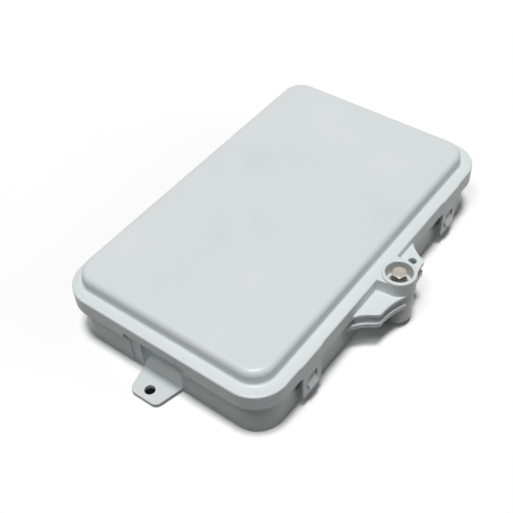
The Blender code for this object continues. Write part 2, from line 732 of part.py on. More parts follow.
def make_lock():
    """Captive hex screw in the lid, its washer, and the brass insert in the base."""
    sides = HEAD_SIDES
    seat = WELL_Z + FIT
    top = seat + HEAD_HIGH
    rings = [(circle(0, 0, SHANK_R, sides), SKIRT_Z - SHANK_REACH), (circle(0, 0, SHANK_R, sides), seat),
             (circle(0, 0, COLLAR_R, sides), seat), (circle(0, 0, COLLAR_R, sides), seat + COLLAR_HIGH),
             (hexagon(HEAD_FLATS, sides), seat + COLLAR_HIGH),
             (hexagon(HEAD_FLATS, sides), top - HEAD_CHAMFER),
             (circle(0, 0, HEAD_FLATS / 2 - HEAD_CHAMFER, sides), top)]
    screw = add_object("lock_screw", loft(rings), steel())
    screw.location = (BOSS_X, 0, 0)
    z = SKIRT_Z + RECESS_HIGH - FIT
    washer = add_object("lock_washer", cylinder(BOSS_X, 0, WASHER_R, z - WASHER_HIGH, z), plastic_clear())
    cut(washer, "washer bore", cylinder(BOSS_X, 0, SHANK_R + FIT, z - 2 * WASHER_HIGH, z + OVER))
    low = LEDGE_Z - INSERT_HIGH - FIT
    insert = add_object("lock_insert", cylinder(BOSS_X, 0, INSERT_R, low, low + INSERT_HIGH), brass())
    cut(insert, "insert bore", cylinder(BOSS_X, 0, LOCK_BORE_R, low - OVER, LEDGE_Z + OVER))


def make_screw(name, x, y, seat):
    """Pan-head screw whose head sits on z = seat, with a cross slot."""
    rings = [(circle(0, 0, SCREW_R, SMALL_SIDES), -SCREW_REACH), (circle(0, 0, SCREW_R, SMALL_SIDES), 0),
             (circle(0, 0, SCREW_HEAD_R, SMALL_SIDES), 0),
             (circle(0, 0, SCREW_HEAD_R * 0.92, SMALL_SIDES), SCREW_HEAD_HIGH * 0.7),
             (circle(0, 0, SCREW_HEAD_R * 0.6, SMALL_SIDES), SCREW_HEAD_HIGH)]
    screw = add_object(name, loft(rings), steel())
    screw.location = (x, y, seat + FIT)
    return screw


def port_places():
    first = -(PORTS - 1) / 2 * PORT_PITCH
    return [first + i * PORT_PITCH for i in range(PORTS)]


def make_panel():
    """Angle bracket that holds the row of adapters."""
    half = PANEL_W / 2
    foot_z = FLOOR + PANEL_POST + FIT
    top = ADAPTER_Z + ADAPTER_H / 2 + ADAPTER_UP
    points = [(PANEL_Y - PANEL_FOOT, foot_z), (PANEL_Y + PANEL_THICK, foot_z), (PANEL_Y + PANEL_THICK, top),
              (PANEL_Y, top), (PANEL_Y, PANEL_TOP), (PANEL_Y - PANEL_FOOT, PANEL_TOP)]
    panel = add_object("adapter_panel", along_x_profile(points, -half, half), plastic_grey())
    w, h = ADAPTER_W / 2 + FIT, ADAPTER_H / 2 + FIT
    cut(panel, "adapter holes", group(*[box(x - w, x + w, PANEL_Y - OVER, PANEL_Y + PANEL_THICK + OVER,
                                            ADAPTER_Z - h, ADAPTER_Z + h) for x in port_places()]))
    cut(panel, "panel screw holes", screw_holes(panel_screw_places(), foot_z - OVER, PANEL_TOP + OVER))
    for number, (x, y) in enumerate(panel_screw_places(), 1):
        make_screw(f"panel_screw_{number}", x, y, PANEL_TOP)


def make_adapters():
    """Square-bore adapters with a flange against the panel, and a dust cap in each."""
    body_w, body_h = ADAPTER_W / 2, ADAPTER_H / 2
    y0, y1 = PANEL_Y + PANEL_THICK / 2 - ADAPTER_L / 2, PANEL_Y + PANEL_THICK / 2 + ADAPTER_L / 2
    flange_y = PANEL_Y - FIT
    bore = ADAPTER_BORE / 2
    for number, x in enumerate(port_places(), 1):
        adapter = add_object(f"adapter_{number}", box(x - body_w, x + body_w, y0, y1, ADAPTER_Z - body_h,
                                                      ADAPTER_Z + body_h), plastic_green())
        rim_w, rim_h = body_w + ADAPTER_RIM, body_h + ADAPTER_RIM
        flange = box(x - rim_w, x + rim_w, flange_y - 2 * ADAPTER_RIM, flange_y,
                     ADAPTER_Z - rim_h, ADAPTER_Z + rim_h)
        join(adapter, f"adapter flange {number}", flange)
        cut(adapter, f"adapter bores {number}", group(*[
            box(x - bore, x + bore, ya, yb, ADAPTER_Z - bore, ADAPTER_Z + bore)
            for ya, yb in ((y0 - OVER, y0 + ADAPTER_DEPTH), (y1 - ADAPTER_DEPTH, y1 + OVER))]))
        ferrule = prism(circle(0, 0, FERRULE_R, SMALL_SIDES), -ADAPTER_L, ADAPTER_L)
        along_y(ferrule, x, ADAPTER_Z, PANEL_Y)
        cut(adapter, f"ferrule bore {number}", ferrule)
        plug = bore - FIT
        cap = add_object(f"dust_cap_{number}", box(x - plug, x + plug, y1 - CAP_IN, y1 + CAP_L - CAP_IN,
                                                   ADAPTER_Z - plug, ADAPTER_Z + plug), plastic_clear())
        join(cap, f"cap flange {number}", box(x - body_w, x + body_w, y1 + FIT, y1 + FIT + CAP_FLANGE,
                                              ADAPTER_Z - bore - CAP_FLANGE_UP,
                                              ADAPTER_Z + bore + CAP_FLANGE_UP))


def tray_outline(inset=0.0):
    x, y = TRAY_W / 2, TRAY_L / 2
    return inset_outline(-x, x, TRAY_Y - y, TRAY_Y + y, TRAY_CORNER, inset)


def make_tray():
    """Splice tray with round corners, a spool in each half and a comb for the splices."""
    floor_z, rim_z = TRAY_Z + TRAY_WALL, TRAY_Z + TRAY_HIGH
    tray = add_object("splice_tray", loft([(tray_outline(), TRAY_Z), (tray_outline(), rim_z),
                                           (tray_outline(TRAY_WALL), rim_z),
                                           (tray_outline(TRAY_WALL), floor_z)]), plastic_clear())
    spool_places = [TRAY_Y + side * (HOLDER_L / 2 + SPOOL_GAP + SPOOL_R) for side in (-1, 1)]
    join(tray, "tray spools", group(*[cylinder(0, y, SPOOL_R, floor_z - TRAY_WALL / 2, rim_z - SPOOL_LOW)
                                      for y in spool_places]))
    cut(tray, "spool hollows", group(*[cylinder(0, y, SPOOL_R - TRAY_WALL, floor_z, rim_z + OVER)
                                       for y in spool_places]))
    cut(tray, "tray screw holes", screw_holes(tray_post_places(), TRAY_Z - OVER, floor_z + OVER))
    mouths = []
    for side in (-1, 1):
        wall = side * TRAY_W / 2
        mouths.append(box(wall - 2 * TRAY_WALL, wall + 2 * TRAY_WALL, TRAY_Y - MOUTH_W / 2,
                          TRAY_Y + MOUTH_W / 2, floor_z, rim_z + OVER))
    cut(tray, "tray mouths", group(*mouths))
    for number, (x, y) in enumerate(tray_post_places(), 1):
        make_screw(f"tray_screw_{number}", x, y, floor_z)
    make_holder(floor_z + FIT)


def make_holder(z):
    """Comb that grips the splice sleeves side by side."""
    x, y = HOLDER_W / 2, HOLDER_L / 2
    block = box(-x, x, TRAY_Y - y, TRAY_Y + y, z, z + HOLDER_HIGH)
    holder = add_object("splice_holder", block, plastic_grey())
    pitch = HOLDER_W / HOLDER_SLOTS
    slots = []
    for i in range(HOLDER_SLOTS):
        middle = -x + (i + 0.5) * pitch
        slots.append(box(middle - SLOT_W / 2, middle + SLOT_W / 2, TRAY_Y - y - OVER, TRAY_Y + y + OVER,
                         z + HOLDER_PLATE, z + HOLDER_HIGH + OVER))
    cut(holder, "splice slots", group(*slots))


def make_splitter():
    z = FLOOR + FIT
    x, y = SPLITTER_W / 2, SPLITTER_D / 2
    outline = rounded_outline(-x, x, SPLITTER_Y - y, SPLITTER_Y + y, SPLITTER_ROUND, 2)
    add_object("splitter_module", prism(outline, z, z + SPLITTER_H), steel())


def make_entries():
    """Main cable grommets and drop cable seals in the +Y wall."""
    half_wall = BASE_WALL / 2
    middle = BY - half_wall
    for number, side in enumerate((-1, 1), 1):
        neck, lip = ENTRY_R - FIT, half_wall + FIT
        profile = [(GROMMET_R, -lip - GROMMET_LIP), (GROMMET_R, -lip), (neck, -lip), (neck, lip),
                   (GROMMET_R, lip), (GROMMET_R, lip + GROMMET_LIP)]
        grommet = add_object(f"cable_grommet_{number}",
                             along_y(turned(profile), side * ENTRY_X, ENTRY_Z, middle), rubber())
        bore = prism(circle(0, 0, GROMMET_BORE), -BASE_WALL * 2, BASE_WALL * 2)
        cut(grommet, f"grommet bore {number}", along_y(bore, side * ENTRY_X, ENTRY_Z, middle))
        x, out = side * DROP_X + LUG_X, lip + DROP_LIP
        w, h = DROP_W / 2 - FIT, DROP_H / 2 - FIT
        block = box(x - w, x + w, middle - out, middle + out, ENTRY_Z - h, ENTRY_Z + h)
        seal = add_object(f"drop_cable_seal_{number}", block, rubber())
        lip_w, lip_h = w + DROP_LIP, h + DROP_LIP
        lips = [box(x - lip_w, x + lip_w, ya, yb, ENTRY_Z - lip_h, ENTRY_Z + lip_h)
                for ya, yb in ((middle - out, middle - lip), (middle + lip, middle + out))]
        join(seal, f"seal lips {number}", group(*lips))
        pitch = DROP_W / DROPS
        slots = [box(x + (i - (DROPS - 1) / 2) * pitch - DROP_SLOT_W / 2,
                     x + (i - (DROPS - 1) / 2) * pitch + DROP_SLOT_W / 2, middle - BASE_WALL * 2,
                     middle + BASE_WALL * 2, ENTRY_Z - DROP_SLOT_H / 2, ENTRY_Z + DROP_SLOT_H / 2)
                 for i in range(DROPS)]
        cut(seal, f"seal slots {number}", group(*slots))


def arch(x, z, half, high):
    """Half ellipse over x, from its +X foot to its -X foot."""
    angles = [math.pi * i / ARCH_STEPS for i in range(ARCH_STEPS + 1)]
    return [(x + half * math.cos(a), z + high * math.sin(a)) for a in angles]


def make_clamps():
    """Saddles that hold the main cables down, each with two screws."""
    z = FLOOR + CLAMP_POST_HIGH + FIT
    top = z + CLAMP_THICK
    for number, side in enumerate((-1, 1), 1):
        x, half = side * ENTRY_X, CLAMP_W / 2
        outline = [(x + half, z), (x + half, top)] + arch(x, top, ARCH_HALF + ARCH_WALL, ARCH_HIGH)
        outline += [(x - half, top), (x - half, z)] + arch(x, z, ARCH_HALF, ARCH_HIGH)[::-1]
        saddle = along_y_profile(outline, CLAMP_Y - CLAMP_D / 2, CLAMP_Y + CLAMP_D / 2)
        clamp = add_object(f"cable_clamp_{number}", saddle, plastic_grey())
        places = [p for p in clamp_post_places() if p[0] * side > 0]
        cut(clamp, f"clamp holes {number}", screw_holes(places, z - OVER, top + OVER))
    for number, (px, py) in enumerate(clamp_post_places(), 1):
        make_screw(f"clamp_screw_{number}", px, py, top)


clear_scene()
make_base()
make_lid()
make_gasket()
make_hinge_pins()
make_lock()
make_panel()
make_adapters()
make_tray()
make_splitter()
make_entries()
make_clamps()
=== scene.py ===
"""Looks of a wall-mounted fibre distribution box, lying on its back on a white table.

Metres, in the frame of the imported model: +X is the lock side, -X the hinge side and +Y the cable end.
"""
import json
import math

import bmesh
import bpy
from mathutils import Matrix, Vector


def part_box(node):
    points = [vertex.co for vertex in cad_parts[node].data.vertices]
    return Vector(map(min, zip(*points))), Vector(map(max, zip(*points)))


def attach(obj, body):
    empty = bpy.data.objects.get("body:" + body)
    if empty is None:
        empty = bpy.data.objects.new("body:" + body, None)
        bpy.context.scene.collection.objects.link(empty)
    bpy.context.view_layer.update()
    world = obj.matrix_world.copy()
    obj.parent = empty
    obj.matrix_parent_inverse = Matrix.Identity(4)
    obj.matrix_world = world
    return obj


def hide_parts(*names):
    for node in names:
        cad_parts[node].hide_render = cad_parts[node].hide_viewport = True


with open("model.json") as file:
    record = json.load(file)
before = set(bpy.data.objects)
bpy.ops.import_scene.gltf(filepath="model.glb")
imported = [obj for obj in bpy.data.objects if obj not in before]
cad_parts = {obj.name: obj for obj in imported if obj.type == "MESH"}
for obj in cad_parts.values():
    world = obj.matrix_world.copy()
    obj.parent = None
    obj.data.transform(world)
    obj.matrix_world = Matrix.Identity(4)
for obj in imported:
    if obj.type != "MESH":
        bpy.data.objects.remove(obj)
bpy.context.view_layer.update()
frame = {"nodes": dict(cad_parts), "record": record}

MM = 0.001
CORNER_STEPS = 24              # faces in a box corner
SIDES = 64                     # faces round a bore or a boss
SMALL_SIDES = 32
SLEEVE_SIDES = 24
SHANK_SIDES = 20
OVER = 1.0 * MM                # how far a cutter runs past the face that it opens
SHARP = math.radians(30)
PATTERN_LOW = 0.3              # part of a noise pattern that is spread over its whole range
PATTERN_HIGH = 0.7
FINE_EDGE = 0.25 * MM
SMALL_EDGE = 0.3 * MM
DRESS_EDGE = 0.2 * MM          # on the pieces that keep their solid
WELD_REACH = 0.01 * MM
LEAST_CORNER = 0.4 * MM        # where an inset has used up a corner's radius
IN_LINE = 1e-12                # three points in a line, as an area in square metres

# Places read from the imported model
LID_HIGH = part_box("lid")[1]
RING_LOW, RING_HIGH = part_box("lid_gasket")
PIN_LOW, PIN_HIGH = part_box("hinge_pin_1")
SCREW_LOW, SCREW_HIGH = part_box("lock_screw")
WASHER_LOW, WASHER_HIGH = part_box("lock_washer")
INSERT_LOW, INSERT_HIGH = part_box("lock_insert")
PANEL_LOW, PANEL_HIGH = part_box("adapter_panel")
TRAY_LOW, TRAY_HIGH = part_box("splice_tray")
SPLITTER_LOW, SPLITTER_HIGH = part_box("splitter_module")

# Lid
LY = LID_HIGH.y
LX = RING_HIGH.x + 3.8 * MM    # lid's edge, outside the base wall
LID_WALL = 2.2 * MM
PAD_Z = LID_HIGH.z
PAD_RISE = 9.1 * MM
FLANGE_Z = PAD_Z - PAD_RISE
SKIRT_HIGH = 11.0 * MM
SKIRT_Z = FLANGE_Z - SKIRT_HIGH
FLANGE_CORNER = 20.0 * MM
FLANGE_ROUND = 1.0 * MM
PAD_MARGIN = 6.7 * MM
PAD_MARGIN_HINGE = 4.4 * MM
PAD_CORNER = 14.0 * MM
PAD_DRAFT = 0.8 * MM
PAD_ROUND = 4.0 * MM
PAD_FOOT = 1.4 * MM            # fillet from the pad's wall to the flange
PAD_FOOT_OUT = 0.6             # share of that fillet outside the pad's outline
PAD_CROWN = 0.25 * MM          # the pad's middle above its edge
CROWN_STEPS = (52, 34, 20, 10)      # millimetres inside the pad's edge
EDGE = 0.35 * MM               # round on a plain moulded edge

# Base
BX, BY = RING_HIGH.x, RING_HIGH.y
BASE_CORNER = 16.2 * MM
BASE_WALL = 2.4 * MM
FLOOR = 2.6 * MM
BASE_ROUND = 1.2 * MM
LEDGE_OUT = 1.7 * MM
LEDGE_HIGH = 3.2 * MM
FLOOR_FILLET = 1.6 * MM
FIT = 0.3 * MM
LEDGE_Z = SKIRT_Z - FIT
RIM_Z = RING_LOW.z - FIT
INNER_Z = FLANGE_Z - LID_WALL

# Wall lugs
LUG_X = -1.8 * MM
LUG_REACH = 16.9 * MM
LUG_ROOT = 28.0 * MM
LUG_TIP = 21.0 * MM
LUG_THICK = 2.8 * MM
LUG_CORNER = 4.5 * MM
LUG_EDGE = 0.4 * MM
LUG_HOLE = 6.2 * MM
LUG_HOLE_OUT = 10.7 * MM
NOTCH_DEEP = 5.3 * MM
NOTCH_BACK = 1.8 * MM
NOTCH_CORNER = 4.0 * MM
NOTCH_STEPS = 12
GAP_W = 42.0 * MM              # gap in the skirt and the ledge above a lug
GAP_HIGH = 4.1 * MM
GAP_DEEP = 0.4 * MM

# Lock boss, seal ear and web
BOSS_X = (SCREW_LOW.x + SCREW_HIGH.x) / 2
BOSS_R = 10.0 * MM
BOSS_RISE = 1.5 * MM
BOSS_ROUND = 0.9 * MM
WELL_R = 7.7 * MM
WELL_FLOOR = 7.4 * MM
WELL_LIP = 0.8 * MM            # round at the well's mouth and fillet at its floor
WELL_Z = FLANGE_Z - WELL_FLOOR
LOCK_BORE_R = 2.6 * MM
BASE_BOSS_R = 9.3 * MM
BASE_BOSS_Z = 4.0 * MM
BASE_BOSS_TOE = ((1.2, 0.0), (0.3, 0.4), (0.0, 1.2))      # millimetres in and up
EAR_DROP = 5.0 * MM
EAR_THICK = 2.6 * MM
EAR_ROOT = 29.0 * MM
EAR_TIP = 18.6 * MM
EAR_OUT = 12.6 * MM
EAR_TIP_R = 2.6 * MM
EAR_Z = FLANGE_Z - EAR_DROP
BOSS_FLARE = 11.0 * MM
SEAL_HOLE = 4.8 * MM
SEAL_ALONG = 16.4 * MM
SEAL_OUT = 6.9 * MM
BASE_EAR_DROP = 2.0 * MM
EAR_HOLLOW = 1.0 * MM          # how far the ear's edges curve in
HOLLOW_STEPS = 10
EAR_FOOT_AT = 0.75             # radians round the boss to the start of the ear's edge
EAR_TIP_FROM = 4               # degrees round the ear's tip, and how many it goes on for
EAR_TIP_SWEEP = 46
EAR_TIP_STEPS = 8
WING_TIP = 23.6 * MM
WING_OUT = 11.5 * MM
WING_TIP_R = 2.0 * MM
WING_THICK = 2.6 * MM
WING_END_IN = 1.3 * MM
WING_END_ALONG = 5.0 * MM
WING_TIP_FROM = -60            # degrees round the web's outer corner
WING_TIP_SWEEP = 60
WING_TIP_STEPS = 10
WING_SWEEP_STEPS = 14
WING_Z = SKIRT_Z + WING_THICK
LIP_DROP = 8.4 * MM
LIP_HIGH = 3.5 * MM
LIP_INSET = 2.2 * MM
WEB_EDGE = ((0.3, 34.4), (2.8, 31.1), (6.2, 28.3), (9.2, 26.5))      # out from the skirt and along it
LIP_EDGE = ((-3.9, 41.5), (-2.4, 39.3), (-1.0, 37.3), (0.7, 34.0), (3.3, 31.1), (6.4, 28.4), (9.3, 26.6))
RIB_UP = 1.0 * MM
WEB_ROUND = 0.5 * MM           # round on the edges of the ears and the web
LIP_ROUND = 0.4 * MM

# Latches
TAB_W = 16.8 * MM
TAB_Y = 73.4 * MM
TAB_PROUD = 0.5 * MM
TAB_THICK = 1.9 * MM
TAB_Z = 7.0 * MM
TAB_X = LX + TAB_PROUD
WINDOW_W = 8.4 * MM
WINDOW_LOW = 4.2 * MM
WINDOW_HIGH = 10.5 * MM
TAB_CORNER = 1.8 * MM
TAB_STEPS = 8
TAB_SLOPE = 3.0 * MM           # length of the skirt's step out to a tab
TAB_REACH = 0.98               # share of the straight side that the tabs may take up
CATCH_HIGH = 9.2 * MM
CATCH_NOSE = 0.8 * MM          # height of the catch's blunt nose
CATCH_OUT = 1.2 * MM           # nose outside the tab's face

# Hinge
HINGE_X = (PIN_LOW.x + PIN_HIGH.x) / 2
HINGE_Z = (PIN_LOW.z + PIN_HIGH.z) / 2
HINGE_Y = 70.0 * MM
PIN_R = (PIN_HIGH.x - PIN_LOW.x) / 2
KNUCKLE_R = 2.8 * MM
KNUCKLE_MID = 14.0 * MM
KNUCKLE_END = 8.0 * MM
KNUCKLE_GAP = 0.4 * MM

# Lock screw and insert
HEAD_FLATS = 8.0 * MM
COLLAR_R = 5.6 * MM
COLLAR_HIGH = 1.0 * MM
HEAD_CHAMFER = 1.2 * MM
HEAD_TOP_IN = 0.2 * MM         # flat top of the head inside its flats
HEAD_TOP_UP = 0.01 * MM        # chamfer's cone past the top, so that no faces coincide
SHANK_R = 2.0 * MM
SHANK_TIP = 0.6 * MM
RECESS_HIGH = 1.4 * MM
INSERT_R = (INSERT_HIGH.x - INSERT_LOW.x) / 2

# Posts and clips on the floor
POST_R = 3.2 * MM
SCREW_R = 1.2 * MM
HOLE_INTO_FLOOR = 0.8 * MM
PANEL_FOOT = 12.0 * MM
PANEL_POST = 3.0 * MM
TRAY_UP = 8.0 * MM
TRAY_POST_IN = 12.0 * MM
CLAMP_POST_HIGH = 6.0 * MM
CLAMP_Y = 88.0 * MM
CLAMP_SPAN = 15.0 * MM
CLIP_W = 8.0 * MM
CLIP_THICK = 1.4 * MM
CLIP_UP = 1.0 * MM

# Small screws and adapters
HEAD_HIGH = 1.9 * MM
THREAD_PITCH = 0.7 * MM
THREAD_TIP = 0.3               # radius of the shank's tip, as a share of the screw's
THREAD_CORE = 0.8              # and between the threads
THREAD_FORM = ((THREAD_CORE, 0.45), (1.0, 0.7), (THREAD_CORE, 0.95))      # radius and rise, as shares
SCREW_DOME = ((0.94, 0.0), (1.0, 0.12), (1.0, 0.40), (0.95, 0.66), (0.82, 0.85), (0.60, 0.96), (0.30, 1.0))
CROSS_ARM = 1.6 * MM
CROSS_SLOT = 0.7 * MM
CROSS_DEEP = 1.0 * MM
PANEL_Y = PANEL_HIGH.y - 2.0 * MM
ADAPTER_RIM = 1.1 * MM
ADAPTER_BORE = 7.2 * MM
ADAPTER_DEPTH = 9.0 * MM
FERRULE_R = 1.2 * MM
KEY_W = 2.2 * MM
KEY_L = 7.0 * MM
KEY_DEEP = 0.8 * MM
SLEEVE_R = 2.3 * MM
SLEEVE_IN = 3.2 * MM           # sleeve's end inside the socket's mouth
SLEEVE_IN_CAPPED = 6.4 * MM    # and behind a dust cap
CLIP_SINK = 0.35 * MM
CLIP_HALF = 2.4 * MM
CLIP_NEAR = 3.0 * MM           # ends of the clip's recess, from the socket's mouth
CLIP_FAR = 8.5 * MM

# Cable entries
ENTRY_X = 43.4 * MM
ENTRY_Z = 13.0 * MM
ENTRY_R = 5.2 * MM
DROP_X = 25.6 * MM
DROP_W = 14.0 * MM
DROP_H = 8.0 * MM

# Table and lamps
TABLE_HALF = 4.0
TABLE_UNSEEN = 0.04            # grey of the table and of the world for light that no camera sees
WORLD_UNSEEN = 0.06
# Painted shade on the table under each lug hole: its radius and its grey
PAINTED_SHADE_R = 5.4 * MM
PAINTED_SHADE_GREY = 0.008
LAMPS = (("overhead", (0.05, -0.07, 1.0), 2.2, 12),      # name, direction, strength and width in degrees
         ("front", (0.0, -0.42, 1.0), 0.68, 16),
         ("side", (0.9, 0.35, 0.45), 0.33, 40))

# Camera, as fitted to the photograph's straight edges
CAMERA_AZIMUTH = 39.32
CAMERA_ELEVATION = 46.43
CAMERA_ROLL = -3.48
CAMERA_DISTANCE = 549.88 * MM
CAMERA_SIDE = -16.86 * MM
CAMERA_UP = 1.95 * MM
CAMERA_LENS = 62.71
SENSOR = 36.0
CAMERA_NEAR = 0.01

BODY_OF = {node: body for body, nodes in frame["record"]["behaviour"]["bodies"].items() for node in nodes}
SLOT_OF = {part["node"]: part["material_slot"] for part in frame["record"]["subparts"]}


# Materials

def new_material(name, colour, roughness, metallic=0.0):
    mat = bpy.data.materials.new(name)
    mat.use_nodes = True
    shader = mat.node_tree.nodes["Principled BSDF"]
    shader.inputs["Base Color"].default_value = (*colour, 1)
    shader.inputs["Roughness"].default_value = roughness
    shader.inputs["Metallic"].default_value = metallic
    return mat, mat.node_tree, shader


def noise(tree, scale, detail, stretch=(1, 1, 1)):
    """Noise in object space, finer as scale grows, and drawn out along an axis by stretch."""
    place = tree.nodes.new("ShaderNodeTexCoord")
    squeeze = tree.nodes.new("ShaderNodeMapping")
    squeeze.inputs["Scale"].default_value = stretch
    grain = tree.nodes.new("ShaderNodeTexNoise")
    grain.inputs["Scale"].default_value = scale
    grain.inputs["Detail"].default_value = detail
    tree.links.new(place.outputs["Object"], squeeze.inputs["Vector"])
    tree.links.new(squeeze.outputs["Vector"], grain.inputs["Vector"])
    return grain.outputs["Fac"]


def spread(tree, value, low, high):
    """Map a 0 to 1 pattern to a range of numbers."""
    ramp = tree.nodes.new("ShaderNodeMapRange")
    ramp.inputs["From Min"].default_value = PATTERN_LOW
    ramp.inputs["From Max"].default_value = PATTERN_HIGH
    ramp.inputs["To Min"].default_value = low
    ramp.inputs["To Max"].default_value = high
    tree.links.new(value, ramp.inputs["Value"])
    return ramp.outputs["Result"]


def tint(tree, value, dark, light):
    """Mix two colours by a pattern."""
    ramp = tree.nodes.new("ShaderNodeValToRGB")
    ramp.color_ramp.elements[0].position = PATTERN_LOW
    ramp.color_ramp.elements[0].color = (*dark, 1)
    ramp.color_ramp.elements[1].position = PATTERN_HIGH
    ramp.color_ramp.elements[1].color = (*light, 1)
    tree.links.new(value, ramp.inputs["Fac"])
    return ramp.outputs["Color"]


def bump(tree, shader, height, strength, distance):
    node = tree.nodes.new("ShaderNodeBump")
    node.inputs["Strength"].default_value = strength
    node.inputs["Distance"].default_value = distance
    tree.links.new(height, node.inputs["Height"])
    tree.links.new(node.outputs["Normal"], shader.inputs["Normal"])


def moulded(name, dark, light, roughness):
    """Moulded plastic: cloudy colour, smeared gloss and a fine orange-peel skin."""
    mat, tree, shader = new_material(name, light, roughness)
    tree.links.new(tint(tree, noise(tree, 22, 4), dark, light), shader.inputs["Base Color"])
    smear = noise(tree, 14, 5, (1.0, 0.35, 1.0))
    tree.links.new(spread(tree, smear, roughness - 0.05, roughness + 0.06), shader.inputs["Roughness"])
    bump(tree, shader, noise(tree, 900, 2), 0.12, 0.03 * MM)
    return mat


def white_plastic():
    mat = moulded("white_abs", (0.645, 0.690, 0.685), (0.675, 0.715, 0.708), 0.34)
    mat.node_tree.nodes["Principled BSDF"].inputs["IOR"].default_value = 1.5
    return mat


def grey_plastic():
    return moulded("grey_abs", (0.40, 0.43, 0.45), (0.46, 0.49, 0.51), 0.42)


def green_plastic():
    return moulded("green_adapter", (0.035, 0.27, 0.11), (0.05, 0.36, 0.16), 0.38)


def clear_plastic():
    mat = moulded("natural_plastic", (0.60, 0.65, 0.67), (0.66, 0.71, 0.73), 0.28)
    mat.node_tree.nodes["Principled BSDF"].inputs["Transmission Weight"].default_value = 0.25
    return mat


def rubber():
    mat, tree, shader = new_material("seal_rubber", (0.03, 0.03, 0.03), 0.75)
    bloom = tint(tree, noise(tree, 60, 5), (0.018, 0.018, 0.019), (0.050, 0.050, 0.052))
    tree.links.new(bloom, shader.inputs["Base Color"])
    tree.links.new(spread(tree, noise(tree, 90, 3), 0.62, 0.85), shader.inputs["Roughness"])
    bump(tree, shader, noise(tree, 2600, 2), 0.35, 0.04 * MM)
    return mat


def metal(name, dark, light, roughness, grain):
    """Plated or turned metal with fine marks along X and duller patches."""
    mat, tree, shader = new_material(name, light, roughness, 1.0)
    tree.links.new(tint(tree, noise(tree, 160, 5), dark, light), shader.inputs["Base Color"])
    dull = spread(tree, noise(tree, 220, 4), roughness - 0.08, roughness + 0.14)
    tree.links.new(dull, shader.inputs["Roughness"])
    bump(tree, shader, noise(tree, grain, 3, (0.2, 1.0, 1.0)), 0.2, 0.03 * MM)
    return mat


MATERIALS = {
    "white_shell": white_plastic(),
    "grey_plastic": grey_plastic(),
    "green_plastic": green_plastic(),
    "clear_plastic": clear_plastic(),
    "rubber_seal": rubber(),
    "zinc_steel": metal("zinc_steel", (0.32, 0.30, 0.25), (0.46, 0.435, 0.375), 0.46, 2400),
    "brass": metal("brass", (0.50, 0.34, 0.12), (0.66, 0.48, 0.20), 0.32, 2600),
}


# Outlines and solids

def rounded_outline(x0, x1, y0, y1, radius, steps=CORNER_STEPS):
    """Points of a rectangle with round corners, anticlockwise."""
    points = []
    corners = ((x1, y1, 0), (x0, y1, 90), (x0, y0, 180), (x1, y0, 270))
    for cx, cy, start in corners:
        ox = cx - math.copysign(radius, cx - (x0 + x1) / 2)
        oy = cy - math.copysign(radius, cy - (y0 + y1) / 2)
        for step in range(steps + 1):
            angle = math.radians(start + 90 * step / steps)
            points.append((ox + radius * math.cos(angle), oy + radius * math.sin(angle)))
    return points


def inset_outline(x0, x1, y0, y1, radius, inset):
    return rounded_outline(x0 + inset, x1 - inset, y0 + inset, y1 - inset, max(radius - inset, LEAST_CORNER))


def lock_side(outline, proud=0.0):
    """Add the points of the two latch tabs to a lid outline, which may stand proud there."""
    x, straight = outline[-1][0], -outline[-1][1]
    half = TAB_W / 2
    fit = min(1.0, TAB_REACH * straight / (TAB_Y + half + TAB_SLOPE))
    for sign in (-1, 1):
        y = sign * TAB_Y
        outline += [(x, fit * (y - half - TAB_SLOPE)), (x + proud, fit * (y - half)),
                    (x + proud, fit * (y + half)), (x, fit * (y + half + TAB_SLOPE))]
    return outline


def flange_outline(inset=0.0, proud=0.0):
    return lock_side(inset_outline(-LX, LX, -LY, LY, FLANGE_CORNER, inset), proud)


def pad_outline(inset=0.0):
    x0, x1 = -LX + PAD_MARGIN_HINGE, LX - PAD_MARGIN
    return lock_side(inset_outline(x0, x1, -LY + PAD_MARGIN, LY - PAD_MARGIN, PAD_CORNER, inset))


def base_outline(inset=0.0):
    return inset_outline(-BX, BX, -BY, BY, BASE_CORNER, inset)


def circle(cx, cy, radius, sides=SIDES):
    angles = [math.tau * i / sides for i in range(sides)]
    return [(cx + radius * math.cos(a), cy + radius * math.sin(a)) for a in angles]


def hull(points):
    """Convex outline round a set of points, anticlockwise."""
    points = sorted(set(points))

    def chain(ordered):
        out = []
        for p in ordered:
            while len(out) > 1:
                (ax, ay), (bx, by) = out[-2], out[-1]
                if (bx - ax) * (p[1] - ay) - (by - ay) * (p[0] - ax) > IN_LINE:
                    break
                out.pop()
            out.append(p)
        return out[:-1]

    return chain(points) + chain(points[::-1])


def loft(rings):
    """Closed skin over (outline, z) rings with equal point counts, capped at both ends."""
    bm = bmesh.new()
    rows = [[bm.verts.new((x, y, z)) for x, y in outline] for outline, z in rings]
    for low, high in zip(rows, rows[1:]):
        for i in range(len(low)):
            j = (i + 1) % len(low)
            bm.faces.new((low[i], low[j], high[j], high[i]))
    bm.faces.new(rows[0])
    bm.faces.new(rows[-1])
    bmesh.ops.recalc_face_normals(bm, faces=bm.faces)
    return bm


def soften(bm, radius):
    """Round every edge that is sharper than SHARP."""
    edges = [edge for edge in bm.edges if edge.calc_face_angle(0) > SHARP]
    bmesh.ops.bevel(bm, geom=edges, offset=radius, segments=3, profile=0.5, affect="EDGES",
                    clamp_overlap=True)
    return bm


def prism(outline, z0, z1, edge=0.0):
    bm = loft([(outline, z0), (outline, z1)])
    return soften(bm, edge) if edge else bm


def box(x0, x1, y0, y1, z0, z1, edge=0.0):
    return prism([(x0, y0), (x1, y0), (x1, y1), (x0, y1)], z0, z1, edge)


def cylinder(cx, cy, radius, z0, z1, sides=SIDES, edge=0.0):
    return prism(circle(cx, cy, radius, sides), z0, z1, edge)


